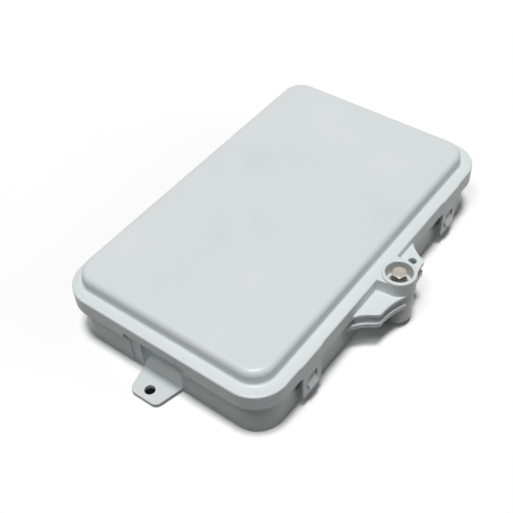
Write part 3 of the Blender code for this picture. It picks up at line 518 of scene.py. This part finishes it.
def turned(profile, cx, cy=0.0, sides=SIDES):
    """Solid turned about Z from (radius, z) points that run from bottom to top."""
    return loft([(circle(cx, cy, radius, sides), z) for radius, z in profile])


def along_y(bm, x, z, y=0.0):
    """Lay a solid that was drawn along Z down along Y, at x and z."""
    bmesh.ops.rotate(bm, verts=bm.verts, cent=(0, 0, 0), matrix=Matrix.Rotation(math.pi / 2, 3, "X"))
    bmesh.ops.translate(bm, verts=bm.verts, vec=(x, y, z))
    return bm


def along_x_profile(points, x0, x1, edge=0.0):
    """Prism of a (y, z) outline between two x planes."""
    bm = prism(points, x0, x1, edge)
    for vert in bm.verts:
        y, z, x = vert.co
        vert.co = Vector((x, y, z))
    return bm


def along_y_profile(points, y0, y1, edge=0.0):
    """Prism of an (x, z) outline between two y planes."""
    bm = prism(points, y0, y1, edge)
    for vert in bm.verts:
        x, z, y = vert.co
        vert.co = Vector((x, y, z))
    return bm


def group(*parts):
    """Put separate solids that don't touch into one bmesh."""
    bm = bmesh.new()
    for part in parts:
        mesh = bpy.data.meshes.new("part")
        part.to_mesh(mesh)
        part.free()
        bm.from_mesh(mesh)
        bpy.data.meshes.remove(mesh)
    return bm


def quarter(radius, steps=8):
    """(inwards, upwards) points of a rounded edge, from the top to the side."""
    angles = [math.pi / 2 * (1 - i / steps) for i in range(steps + 1)]
    return [(radius * (1 - math.cos(a)), radius * (math.sin(a) - 1)) for a in angles]


def quarter_turn(steps):
    """Angles from 0 to 90 degrees."""
    return [math.pi / 2 * i / steps for i in range(steps + 1)]


def add_object(name, bm, mat=None):
    bmesh.ops.recalc_face_normals(bm, faces=bm.faces)
    mesh = bpy.data.meshes.new(name)
    bm.to_mesh(mesh)
    bm.free()
    obj = bpy.data.objects.new(name, mesh)
    bpy.context.scene.collection.objects.link(obj)
    if mat:
        mesh.materials.append(mat)
    return obj


def applied(obj):
    """Mesh of an object with its modifiers worked in."""
    bpy.context.view_layer.update()
    return bpy.data.meshes.new_from_object(obj.evaluated_get(bpy.context.evaluated_depsgraph_get()))


def shape(name, slot, body, joins=(), cuts=(), late_joins=(), late_cuts=()):
    """Solid made from a body by joining and cutting away other solids, in the order given."""
    obj = add_object(name, body, MATERIALS[slot])
    tools = []
    steps = (("UNION", joins), ("DIFFERENCE", cuts), ("UNION", late_joins), ("DIFFERENCE", late_cuts))
    for operation, solids in steps:
        for solid in solids:
            tool = add_object(f"{name} tool", solid)
            mod = obj.modifiers.new("tool", "BOOLEAN")
            mod.operation = operation
            mod.solver = "EXACT"
            mod.object = tool
            tools.append(tool)
    if tools:
        mesh = applied(obj)
        obj.modifiers.clear()
        obj.data = mesh
    for tool in tools:
        bpy.data.objects.remove(tool)
    finish_shading(obj)
    return obj


def finish_shading(obj):
    """Smooth rounds and flat faces."""
    obj.data.shade_smooth()
    obj.data.set_sharp_from_angle(angle=SHARP)
    level = obj.modifiers.new("flat faces", "WEIGHTED_NORMAL")
    level.keep_sharp = True


def stand_for(piece, node):
    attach(piece, BODY_OF[node])
    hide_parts(node)


# Lid

def lid_shell():
    rings = []
    for inset in CROWN_STEPS:
        share = 1 - inset / CROWN_STEPS[0]
        rings.append((pad_outline(PAD_DRAFT + PAD_ROUND + inset * MM), PAD_Z - PAD_CROWN * share ** 2))
    rings += [(pad_outline(PAD_DRAFT + out), PAD_Z - PAD_CROWN + up) for out, up in quarter(PAD_ROUND)]
    rings += [(pad_outline(PAD_FOOT * (math.cos(a) - PAD_FOOT_OUT)), FLANGE_Z + PAD_FOOT * (1 - math.sin(a)))
              for a in quarter_turn(6)]
    rings += [(flange_outline(out, TAB_PROUD), FLANGE_Z + up) for out, up in quarter(FLANGE_ROUND, 5)]
    rings += [(flange_outline(0, TAB_PROUD), SKIRT_Z + EDGE), (flange_outline(EDGE, TAB_PROUD), SKIRT_Z)]
    rings += [(flange_outline(LID_WALL - EDGE), SKIRT_Z), (flange_outline(LID_WALL), SKIRT_Z + EDGE)]
    rings.append((flange_outline(LID_WALL), INNER_Z))
    rings.append((pad_outline(LID_WALL), INNER_Z))
    rings.append((pad_outline(LID_WALL + PAD_DRAFT), PAD_Z - PAD_ROUND))
    rings.append((pad_outline(PAD_DRAFT + PAD_ROUND), PAD_Z - LID_WALL - PAD_CROWN))
    return loft(rings)


def hollow(start, end, depth):
    """Points of an edge that curves in, to the left of the way from start to end."""
    (x0, y0), (x1, y1) = start, end
    length = math.hypot(x1 - x0, y1 - y0)
    side_x, side_y = -(y1 - y0) / length, (x1 - x0) / length
    points = []
    for step in range(HOLLOW_STEPS + 1):
        t = step / HOLLOW_STEPS
        bow = 4 * depth * t * (1 - t)
        points.append((x0 + (x1 - x0) * t + side_x * bow, y0 + (y1 - y0) * t + side_y * bow))
    return points


def sweep_angles(start, sweep, steps):
    """Angles in radians, from a start and over a sweep in degrees."""
    return [math.radians(start + sweep * i / steps) for i in range(steps + 1)]


def ear_outline(root_x):
    """Seal ear on the +Y side of the boss, with a round tip between two edges that curve in."""
    tip_x, tip_y = LX + EAR_OUT - EAR_TIP_R, EAR_TIP
    tip = [(tip_x + EAR_TIP_R * math.cos(a), tip_y + EAR_TIP_R * math.sin(a))
           for a in sweep_angles(EAR_TIP_FROM, EAR_TIP_SWEEP, EAR_TIP_STEPS)]
    reach = BOSS_R - FIT
    foot = (BOSS_X + reach * math.cos(EAR_FOOT_AT), reach * math.sin(EAR_FOOT_AT))
    return ([(root_x, 0.0), (BOSS_X, 0.0)] + hollow(foot, tip[0], EAR_HOLLOW / 2) + tip
            + hollow(tip[-1], (LX, EAR_ROOT), EAR_HOLLOW)[1:] + [(root_x, EAR_ROOT)])


def wing_outline(root_x, edge, inset=0.0):
    """Web on the -Y side of the boss, whose edge sweeps from a round corner into the boss."""
    tip_x, tip_y, radius = LX + WING_OUT - WING_TIP_R, -WING_TIP, WING_TIP_R - inset
    flare = [(LX + out * MM, -along * MM + inset) for out, along in edge]
    corner = [(tip_x + radius * math.cos(a), tip_y + radius * math.sin(a))
              for a in sweep_angles(WING_TIP_FROM, WING_TIP_SWEEP, WING_TIP_STEPS)]
    edge_x, end_x = tip_x + radius, BOSS_X + BOSS_R - WING_END_IN - inset
    sweep = [(edge_x + (end_x - edge_x) * t * t, tip_y + t * (WING_TIP - WING_END_ALONG))
             for t in (i / WING_SWEEP_STEPS for i in range(1, WING_SWEEP_STEPS + 1))]
    return [(root_x, 0.0), (root_x, flare[0][1])] + flare + corner + sweep + [(BOSS_X, 0.0)]


def boss_block(root_x):
    """Boss drawn out to the wall behind it."""
    return hull([(root_x, -BOSS_FLARE), (root_x, BOSS_FLARE)] + circle(BOSS_X, 0, BOSS_R - FIT))


def tab(sign):
    """Latch tab that hangs from the skirt, with round lower corners."""
    y, top = sign * TAB_Y, SKIRT_Z + LID_WALL
    left, right = y - TAB_W / 2, y + TAB_W / 2
    lower = rounded_outline(left, right, TAB_Z, top, TAB_CORNER, TAB_STEPS)[2 * (TAB_STEPS + 1):]
    return along_x_profile(lower + [(right, top), (left, top)], TAB_X - TAB_THICK, TAB_X, SMALL_EDGE)


def tab_window(sign):
    y, low = sign * TAB_Y, TAB_Z + WINDOW_LOW
    return box(TAB_X - TAB_THICK - OVER, TAB_X + OVER, y - WINDOW_W / 2, y + WINDOW_W / 2,
               low, low + WINDOW_HIGH)


def lid_knuckle(sign):
    """Middle knuckle with the arm that carries it on the skirt."""
    root = -LX + LID_WALL / 4
    arm = [(root, SKIRT_Z), (root, SKIRT_Z + 2 * KNUCKLE_R)]
    outline = hull(circle(HINGE_X, HINGE_Z, KNUCKLE_R, SMALL_SIDES) + arm)
    y = sign * HINGE_Y
    return along_y_profile(outline, y - KNUCKLE_MID / 2, y + KNUCKLE_MID / 2, EDGE)


def end_knuckle_spans(sign):
    near = KNUCKLE_MID / 2 + KNUCKLE_GAP
    for side in (-1, 1):
        ends = (sign * HINGE_Y + side * near, sign * HINGE_Y + side * (near + KNUCKLE_END))
        yield min(ends), max(ends)


def pin_bore(sign):
    reach = KNUCKLE_MID / 2 + KNUCKLE_GAP + KNUCKLE_END + OVER
    outline = circle(HINGE_X, HINGE_Z, PIN_R + FIT, SMALL_SIDES)
    return along_y_profile(outline, sign * HINGE_Y - reach, sign * HINGE_Y + reach)


def boss_ring():
    """Boss with a round top edge."""
    top = FLANGE_Z + BOSS_RISE
    edge = [(BOSS_R - out, top + up) for out, up in quarter(BOSS_ROUND, 6)]
    return turned([(BOSS_R, SKIRT_Z + FIT)] + edge[::-1], BOSS_X)


def screw_well():
    """Cutter for the well, with a round mouth and a small fillet at its floor."""
    top = FLANGE_Z + BOSS_RISE
    mouth = [(WELL_R + WELL_LIP * (1 - math.cos(a)), top - WELL_LIP + WELL_LIP * math.sin(a))
             for a in quarter_turn(6)]
    foot = [(WELL_R - WELL_LIP + WELL_LIP * math.sin(a), WELL_Z + WELL_LIP * (1 - math.cos(a)))
            for a in quarter_turn(4)]
    return turned(foot + mouth + [(WELL_R + WELL_LIP, top + OVER)], BOSS_X)


def make_lid():
    root = LX - LID_WALL / 2
    joins = [prism(boss_block(root), SKIRT_Z, FLANGE_Z, EDGE), boss_ring(),
             prism(ear_outline(root), EAR_Z - EAR_THICK, EAR_Z, WEB_ROUND),
             prism(wing_outline(root, WEB_EDGE), SKIRT_Z, WING_Z, WEB_ROUND),
             group(tab(-1), tab(1)), group(lid_knuckle(-1), lid_knuckle(1))]
    inner = LY - LID_WALL - OVER / 2
    gaps = [lug_gap(end, inner, LY + OVER, SKIRT_Z - OVER, SKIRT_Z + GAP_HIGH) for end in (-1, 1)]
    washer_r = (WASHER_HIGH.x - WASHER_LOW.x) / 2
    cuts = [group(tab_window(-1), tab_window(1)), group(pin_bore(-1), pin_bore(1)), group(*gaps),
            screw_well(), cylinder(BOSS_X, 0, LOCK_BORE_R, SKIRT_Z - OVER, WELL_Z + OVER),
            cylinder(BOSS_X, 0, washer_r + FIT, SKIRT_Z - OVER, SKIRT_Z + RECESS_HIGH),
            cylinder(LX + SEAL_OUT, SEAL_ALONG, SEAL_HOLE / 2, EAR_Z - 2 * EAR_THICK, EAR_Z + OVER)]
    lid = shape("lid_moulding", "white_shell", lid_shell(), joins, cuts)
    stand_for(lid, "lid")


# Base

def base_shell():
    rings = [(base_outline(out), -up) for out, up in quarter(BASE_ROUND, 5)]
    rings += [(base_outline(), LEDGE_Z - LEDGE_HIGH), (base_outline(-LEDGE_OUT), LEDGE_Z - LEDGE_HIGH)]
    rings += [(base_outline(-LEDGE_OUT), LEDGE_Z - EDGE), (base_outline(EDGE - LEDGE_OUT), LEDGE_Z)]
    rings += [(base_outline(), LEDGE_Z), (base_outline(), RIM_Z - EDGE), (base_outline(EDGE), RIM_Z)]
    rings += [(base_outline(BASE_WALL - EDGE), RIM_Z), (base_outline(BASE_WALL), RIM_Z - EDGE)]
    rings += [(base_outline(BASE_WALL + FLOOR_FILLET * (1 - math.cos(a))),
               FLOOR + FLOOR_FILLET * (1 - math.sin(a))) for a in quarter_turn(5)]
    return loft(rings)


def lug(end):
    """Flat wall lug at one end, with round outer corners."""
    wall, tip = end * (BY - BASE_WALL / 2), end * (BY + LUG_REACH - LUG_CORNER)
    root = [(LUG_X - LUG_ROOT / 2, wall), (LUG_X + LUG_ROOT / 2, wall)]
    reach = LUG_TIP / 2 - LUG_CORNER
    corners = circle(LUG_X - reach, tip, LUG_CORNER) + circle(LUG_X + reach, tip, LUG_CORNER)
    return prism(hull(root + corners), 0.0, LUG_THICK, LUG_EDGE)


def notch_back(end):
    """Block inside the wall that closes the recess behind a lug."""
    half = LUG_ROOT / 2 + NOTCH_BACK
    y0, y1 = sorted((end * (BY - BASE_WALL / 2), end * (BY - NOTCH_DEEP - NOTCH_BACK)))
    return box(LUG_X - half, LUG_X + half, y0, y1, FLOOR / 2, RIM_Z - FIT, EDGE)


def notch(end):
    """Recess above a lug, with round inner corners."""
    x0, x1 = LUG_X - LUG_ROOT / 2, LUG_X + LUG_ROOT / 2
    outer, inner = -BY - LEDGE_OUT - OVER, NOTCH_DEEP - BY
    back = rounded_outline(x0, x1, outer, inner, NOTCH_CORNER, NOTCH_STEPS)[:2 * (NOTCH_STEPS + 1)]
    outline = [(x, -end * y) for x, y in back + [(x0, outer), (x1, outer)]]
    return prism(outline, LUG_THICK, LEDGE_Z + GAP_HIGH)


def lug_gap(end, inner, outer, z0, z1):
    """Cutter for the gap above a lug, from one distance from the middle to another."""
    y0, y1 = sorted((end * inner, end * outer))
    return box(LUG_X - GAP_W / 2, LUG_X + GAP_W / 2, y0, y1, z0, z1)


def ramp(end):
    """Slope from a lug up to the back of its recess."""
    wall, back, inner = BY - GAP_DEEP - EDGE, BY - NOTCH_DEEP, BY - NOTCH_DEEP - NOTCH_BACK / 2
    top = LUG_THICK + wall - back
    points = [(end * wall, FLOOR / 2), (end * wall, LUG_THICK), (end * back, top), (end * inner, top),
              (end * inner, FLOOR / 2)]
    half = (LUG_ROOT + NOTCH_BACK) / 2
    return along_x_profile(points, LUG_X - half, LUG_X + half)


def catch(sign):
    """Wedge that the latch tab's window drops over, with its slope facing up."""
    reach = TAB_X + CATCH_OUT
    low = TAB_Z + WINDOW_LOW + FIT
    points = [(BX - BASE_WALL / 2, low), (reach, low), (reach, low + CATCH_NOSE),
              (TAB_X - TAB_THICK, low + CATCH_HIGH), (BX - BASE_WALL / 2, low + CATCH_HIGH)]
    y, half = sign * TAB_Y, WINDOW_W / 2 - FIT
    return along_y_profile(points, y - half, y + half, FINE_EDGE)


def base_knuckles():
    outline = circle(HINGE_X, HINGE_Z, KNUCKLE_R, SMALL_SIDES)
    return group(*[along_y_profile(outline, y0, y1, EDGE)
                   for sign in (-1, 1) for y0, y1 in end_knuckle_spans(sign)])


def base_arms():
    """Arms under the skirt from the wall to the end knuckles."""
    z0, z1 = HINGE_Z - KNUCKLE_R / 2, LEDGE_Z - FIT
    return group(*[box(HINGE_X, -BX + BASE_WALL / 2, y0 + FIT, y1 - FIT, z0, z1)
                   for sign in (-1, 1) for y0, y1 in end_knuckle_spans(sign)])


def post_list():
    """(x, y, top) of each screw post on the floor."""
    panel_x, panel_y = PANEL_HIGH.x - 2 * POST_R, PANEL_LOW.y + PANEL_FOOT / 2
    posts = [(side * panel_x, panel_y, FLOOR + PANEL_POST) for side in (-1, 1)]
    posts += [(x, y, FLOOR + TRAY_UP) for x in (TRAY_LOW.x + TRAY_POST_IN, TRAY_HIGH.x - TRAY_POST_IN)
              for y in (TRAY_LOW.y + TRAY_POST_IN, TRAY_HIGH.y - TRAY_POST_IN)]
    posts += [(side * ENTRY_X + part * CLAMP_SPAN / 2, CLAMP_Y, FLOOR + CLAMP_POST_HIGH)
              for side in (-1, 1) for part in (-1, 1)]
    return posts


def splitter_clips():
    wide, top = SPLITTER_HIGH.x - SPLITTER_LOW.x, SPLITTER_HIGH.z - FIT + CLIP_UP
    clips = []
    for x in (-wide / 3, wide / 3):
        for wall, side in ((SPLITTER_LOW.y - FIT, -1), (SPLITTER_HIGH.y + FIT, 1)):
            y0, y1 = sorted((wall, wall + side * CLIP_THICK))
            clips.append(box(x - CLIP_W / 2, x + CLIP_W / 2, y0, y1, FLOOR / 2, top, SMALL_EDGE))
    return group(*clips)


def cable_entries():
    """Round and square holes in the +Y wall."""
    entries = []
    for side in (-1, 1):
        bore = prism(circle(0, 0, ENTRY_R), -BASE_WALL, BASE_WALL)
        entries.append(along_y(bore, side * ENTRY_X, ENTRY_Z, BY - BASE_WALL / 2))
        x = side * DROP_X + LUG_X
        entries.append(box(x - DROP_W / 2, x + DROP_W / 2, BY - 2 * BASE_WALL, BY + BASE_WALL,
                           ENTRY_Z - DROP_H / 2, ENTRY_Z + DROP_H / 2))
    return group(*entries)


def floor_posts():
    return group(*[cylinder(x, y, POST_R, FLOOR / 2, top, SMALL_SIDES, SMALL_EDGE)
                   for x, y, top in post_list()])


def post_bores():
    return group(*[cylinder(x, y, SCREW_R + FIT, FLOOR - HOLE_INTO_FLOOR, top + OVER, SMALL_SIDES)
                   for x, y, top in post_list()])


def lug_holes():
    return group(*[cylinder(LUG_X, end * (BY + LUG_HOLE_OUT), LUG_HOLE / 2, -OVER, LUG_THICK + OVER)
                   for end in (-1, 1)])


def base_walls():
    """Walls with a block behind each lug, before the lugs are joined to them."""
    gaps = [lug_gap(end, BY - GAP_DEEP, BY + LEDGE_OUT + OVER, -OVER, LEDGE_Z + GAP_HIGH) for end in (-1, 1)]
    blocks = group(notch_back(-1), notch_back(1))
    walls = shape("base walls", "white_shell", base_shell(), [blocks], [group(*gaps)])
    bm = bmesh.new()
    bm.from_mesh(walls.data)
    bpy.data.objects.remove(walls)
    return bm


def make_base():
    root, foot, ear_top = BX - BASE_WALL / 2, SKIRT_Z - LIP_DROP, LEDGE_Z - BASE_EAR_DROP
    boss = [(BASE_BOSS_R - out * MM, BASE_BOSS_Z + up * MM) for out, up in BASE_BOSS_TOE]
    joins = [group(lug(-1), lug(1)),
             prism(wing_outline(root, WEB_EDGE, LIP_INSET), foot + RIB_UP, LEDGE_Z),
             prism(wing_outline(root, LIP_EDGE), foot, foot + LIP_HIGH, LIP_ROUND),
             turned(boss + [(BASE_BOSS_R, LEDGE_Z)], BOSS_X),
             prism(ear_outline(root), ear_top - EAR_THICK, ear_top, WEB_ROUND),
             box(root, BOSS_X, -BASE_BOSS_R / 2, BASE_BOSS_R / 2, BASE_BOSS_Z + RIB_UP, LEDGE_Z - FIT),
             group(catch(-1), catch(1)), base_knuckles(), base_arms(), floor_posts(), splitter_clips()]
    cuts = [post_bores(), lug_holes(),
            cylinder(LX + SEAL_OUT, SEAL_ALONG, SEAL_HOLE / 2, ear_top - 2 * EAR_THICK, ear_top + OVER),
            cylinder(BOSS_X, 0, INSERT_R + FIT, INSERT_LOW.z - FIT, SKIRT_Z + OVER),
            group(pin_bore(-1), pin_bore(1)), cable_entries(), group(notch(-1), notch(1))]
    ramps = group(ramp(-1), ramp(1))
    base = shape("base_moulding", "white_shell", base_walls(), joins, cuts, [ramps])
    stand_for(base, "base")



# Lock

def make_lock_screw():
    """Hex head with a conical chamfer, on a collar and a shank."""
    seat, top = SCREW_LOW.z, SCREW_HIGH.z
    collar_z = WELL_Z + FIT
    corner = HEAD_FLATS / 2 / math.cos(math.pi / 6)
    head = prism(circle(BOSS_X, 0, corner, 6), collar_z + COLLAR_HIGH / 2, top)
    cone = turned([(corner + OVER, collar_z), (corner + OVER, top - HEAD_CHAMFER),
                   (HEAD_FLATS / 2 - HEAD_TOP_IN, top + HEAD_TOP_UP)], BOSS_X)
    obj = add_object("hex head", head)
    other = add_object("cone", cone)
    mod = obj.modifiers.new("chamfer", "BOOLEAN")
    mod.operation = "INTERSECT"
    mod.object = other
    chamfered = bmesh.new()
    chamfered.from_mesh(applied(obj))
    bpy.data.objects.remove(obj)
    bpy.data.objects.remove(other)
    collar = cylinder(BOSS_X, 0, COLLAR_R, collar_z, collar_z + COLLAR_HIGH, SIDES, FINE_EDGE)
    shank = turned([(SHANK_R - SHANK_TIP, seat), (SHANK_R, seat + SHANK_TIP),
                    (SHANK_R, collar_z + COLLAR_HIGH / 2)], BOSS_X)
    screw = shape("hex_lock_screw", "zinc_steel", collar, [chamfered, shank])
    stand_for(screw, "lock_screw")


# Small screws

def make_screw(node):
    """Pan-head screw with a cross recess and a ridged shank."""
    low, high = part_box(node)
    x, y, top = (low.x + high.x) / 2, (low.y + high.y) / 2, high.z
    radius, seat = (high.x - low.x) / 2, high.z - HEAD_HIGH
    head = turned([(radius * out, seat + HEAD_HIGH * up) for out, up in SCREW_DOME], x, y, SMALL_SIDES)
    core, start = SCREW_R * THREAD_CORE, low.z + SHANK_TIP
    profile = [(SCREW_R * THREAD_TIP, low.z), (core, start)]
    for turn in range(int((seat - start) / THREAD_PITCH)):
        z = start + turn * THREAD_PITCH
        profile += [(SCREW_R * out, z + up * THREAD_PITCH) for out, up in THREAD_FORM]
    shank = turned(profile + [(core, seat + HEAD_HIGH / 4)], x, y, SHANK_SIDES)
    arm, slot = CROSS_ARM, CROSS_SLOT / 2
    cross = [box(x - arm, x + arm, y - slot, y + slot, top - CROSS_DEEP, top + OVER),
             box(x - slot, x + slot, y - arm, y + arm, top - CROSS_DEEP, top + OVER)]
    stand_for(shape(f"{node}_cross_recess", SLOT_OF[node], head, [shank], cross), node)


# Adapters

def make_adapter(node):
    """Square-socket adapter with keyways, a flange, side clips and a sleeve in each socket."""
    low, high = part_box(node)
    x, y, z = ((a + b) / 2 for a, b in zip(low, high))
    half_w, half_h = (high.x - low.x) / 2, (high.z - low.z) / 2
    body_w, body_h = half_w - ADAPTER_RIM, half_h - ADAPTER_RIM
    flange_y, socket = PANEL_Y - FIT, ADAPTER_BORE / 2
    body = box(x - body_w, x + body_w, low.y, high.y, z - body_h, z + body_h, EDGE)
    flange = box(x - half_w, x + half_w, flange_y - 2 * ADAPTER_RIM, flange_y,
                 z - half_h, z + half_h, FINE_EDGE)
    cuts, sleeves = [], []
    for end, out, recess in ((low.y, -1, SLEEVE_IN), (high.y, 1, SLEEVE_IN_CAPPED)):
        mouth = sorted((end + out * OVER, end - out * ADAPTER_DEPTH))
        key = sorted((end + out * OVER, end - out * KEY_L))
        cuts.append(box(x - socket, x + socket, *mouth, z - socket, z + socket))
        cuts.append(box(x - KEY_W / 2, x + KEY_W / 2, *key, z + socket / 2, z + socket + KEY_DEEP))
        tube = sorted((end - out * (ADAPTER_DEPTH + OVER), end - out * recess))
        sleeves.append(along_y(prism(circle(0, 0, SLEEVE_R, SLEEVE_SIDES), -tube[1], -tube[0]), x, z))
        for side in (-1, 1):
            x0, x1 = sorted((x + side * (body_w + OVER), x + side * (body_w - CLIP_SINK)))
            clip = sorted((end - out * CLIP_NEAR, end - out * CLIP_FAR))
            cuts.append(box(x0, x1, *clip, z - CLIP_HALF, z + CLIP_HALF))
    bore = along_y(prism(circle(0, 0, FERRULE_R, SHANK_SIDES), -high.y - OVER, -low.y + OVER), x, z)
    piece = shape(f"{node}_keyed", SLOT_OF[node], body, [flange], cuts, sleeves, [bore])
    stand_for(piece, node)


# Everything else keeps its solid, with rounded edges and a finish

def dress(node):
    obj = frame["nodes"][node]
    obj.data.materials.clear()
    obj.data.materials.append(MATERIALS[SLOT_OF[node]])
    weld = obj.modifiers.new("one skin", "WELD")
    weld.merge_threshold = WELD_REACH
    bevel = obj.modifiers.new("edges", "BEVEL")
    bevel.width = DRESS_EDGE
    bevel.segments = 2
    bevel.limit_method = "ANGLE"
    bevel.angle_limit = SHARP
    level = obj.modifiers.new("flat faces", "WEIGHTED_NORMAL")
    level.keep_sharp = True


def dress_rest():
    for node in frame["nodes"]:
        if node.startswith("adapter_") and node != "adapter_panel":
            make_adapter(node)
        elif "_screw_" in node:
            make_screw(node)
        elif node not in ("lid", "base", "lock_screw"):
            dress(node)


# Table, light and camera

def math_node(tree, operation, first, second=0.0):
    """Sum, difference or the like of a pattern and a number."""
    node = tree.nodes.new("ShaderNodeMath")
    node.operation = operation
    tree.links.new(first, node.inputs[0])
    node.inputs[1].default_value = second
    return node.outputs[0]


def colour_mix(tree, factor):
    """The two inputs and the result of a mix of colours."""
    mix = tree.nodes.new("ShaderNodeMix")
    mix.data_type = "RGBA"
    tree.links.new(factor, mix.inputs["Factor"])
    first, second = [socket for socket in mix.inputs if socket.type == "RGBA"]
    result = [socket for socket in mix.outputs if socket.type == "RGBA"][0]
    return first, second, result


def seen_colour(tree, unseen):
    """Grey for the light that falls on the object, and white where the camera, gloss or glass looks."""
    path = tree.nodes.new("ShaderNodeLightPath")
    total = path.outputs["Is Camera Ray"]
    for kind in ("Is Glossy Ray", "Is Transmission Ray"):
        add = tree.nodes.new("ShaderNodeMath")
        add.operation = "MAXIMUM"
        tree.links.new(total, add.inputs[0])
        tree.links.new(path.outputs[kind], add.inputs[1])
        total = add.outputs[0]
    first, second, result = colour_mix(tree, total)
    first.default_value = (unseen, unseen, unseen, 1)
    second.default_value = (1.0, 1.0, 1.0, 1)
    return result


def painted_hole_shade(tree, colour):
    """Painted shade: dark spots on the table under the two lug holes, so that the holes look dark."""
    parts = tree.nodes.new("ShaderNodeSeparateXYZ")
    tree.links.new(tree.nodes.new("ShaderNodeNewGeometry").outputs["Position"], parts.inputs[0])
    place = tree.nodes.new("ShaderNodeCombineXYZ")
    tree.links.new(math_node(tree, "SUBTRACT", parts.outputs["X"], LUG_X), place.inputs["X"])
    end = math_node(tree, "ABSOLUTE", parts.outputs["Y"])
    tree.links.new(math_node(tree, "SUBTRACT", end, BY + LUG_HOLE_OUT), place.inputs["Y"])
    length = tree.nodes.new("ShaderNodeVectorMath")
    length.operation = "LENGTH"
    tree.links.new(place.outputs[0], length.inputs[0])
    inside = math_node(tree, "LESS_THAN", length.outputs["Value"], PAINTED_SHADE_R)
    first, second, result = colour_mix(tree, inside)
    tree.links.new(colour, first)
    second.default_value = (PAINTED_SHADE_GREY, PAINTED_SHADE_GREY, PAINTED_SHADE_GREY, 1)
    return result


def make_table():
    bm = bmesh.new()
    half = TABLE_HALF
    corners = ((-half, -half), (half, -half), (half, half), (-half, half))
    bm.faces.new([bm.verts.new((x, y, -FIT)) for x, y in corners])
    mat, tree, shader = new_material("white_table", (1, 1, 1), 0.9)
    shader.inputs["Specular IOR Level"].default_value = 0.0
    # The table's white, with painted shade in a disc under each lug hole
    tree.links.new(painted_hole_shade(tree, seen_colour(tree, TABLE_UNSEEN)), shader.inputs["Base Color"])
    table = add_object("table", bm, mat)


def make_light():
    world = bpy.data.worlds.new("studio")
    bpy.context.scene.world = world
    world.use_nodes = True
    tree = world.node_tree
    tree.links.new(seen_colour(tree, WORLD_UNSEEN), tree.nodes["Background"].inputs["Color"])
    for name, direction, strength, width in LAMPS:
        lamp = bpy.data.lights.new(name, "SUN")
        lamp.energy = strength
        lamp.angle = math.radians(width)
        obj = bpy.data.objects.new(name, lamp)
        obj.rotation_mode = "QUATERNION"
        obj.rotation_quaternion = Vector(direction).to_track_quat("Z", "Y")
        bpy.context.scene.collection.objects.link(obj)


def make_camera():
    azimuth, elevation, roll = (math.radians(a) for a in (CAMERA_AZIMUTH, CAMERA_ELEVATION, CAMERA_ROLL))
    back = Vector((math.sin(azimuth) * math.cos(elevation), -math.cos(azimuth) * math.cos(elevation),
                   math.sin(elevation)))
    level = Vector((math.cos(azimuth), math.sin(azimuth), 0))
    top = back.cross(level)
    right = level * math.cos(roll) + top * math.sin(roll)
    up = top * math.cos(roll) - level * math.sin(roll)
    camera = bpy.data.objects.new("camera", bpy.data.cameras.new("camera"))
    camera.data.lens = CAMERA_LENS
    camera.data.sensor_width = SENSOR
    camera.data.clip_start = CAMERA_NEAR
    place = back * CAMERA_DISTANCE + right * CAMERA_SIDE + up * CAMERA_UP
    camera.matrix_world = Matrix.Translation(place) @ Matrix((right, up, back)).transposed().to_4x4()
    bpy.context.scene.collection.objects.link(camera)
    bpy.context.scene.camera = camera


make_camera()
make_light()
make_table()
make_lid()
make_base()
make_lock_screw()
dress_rest()
bpy.context.scene.view_settings.view_transform = "Standard"
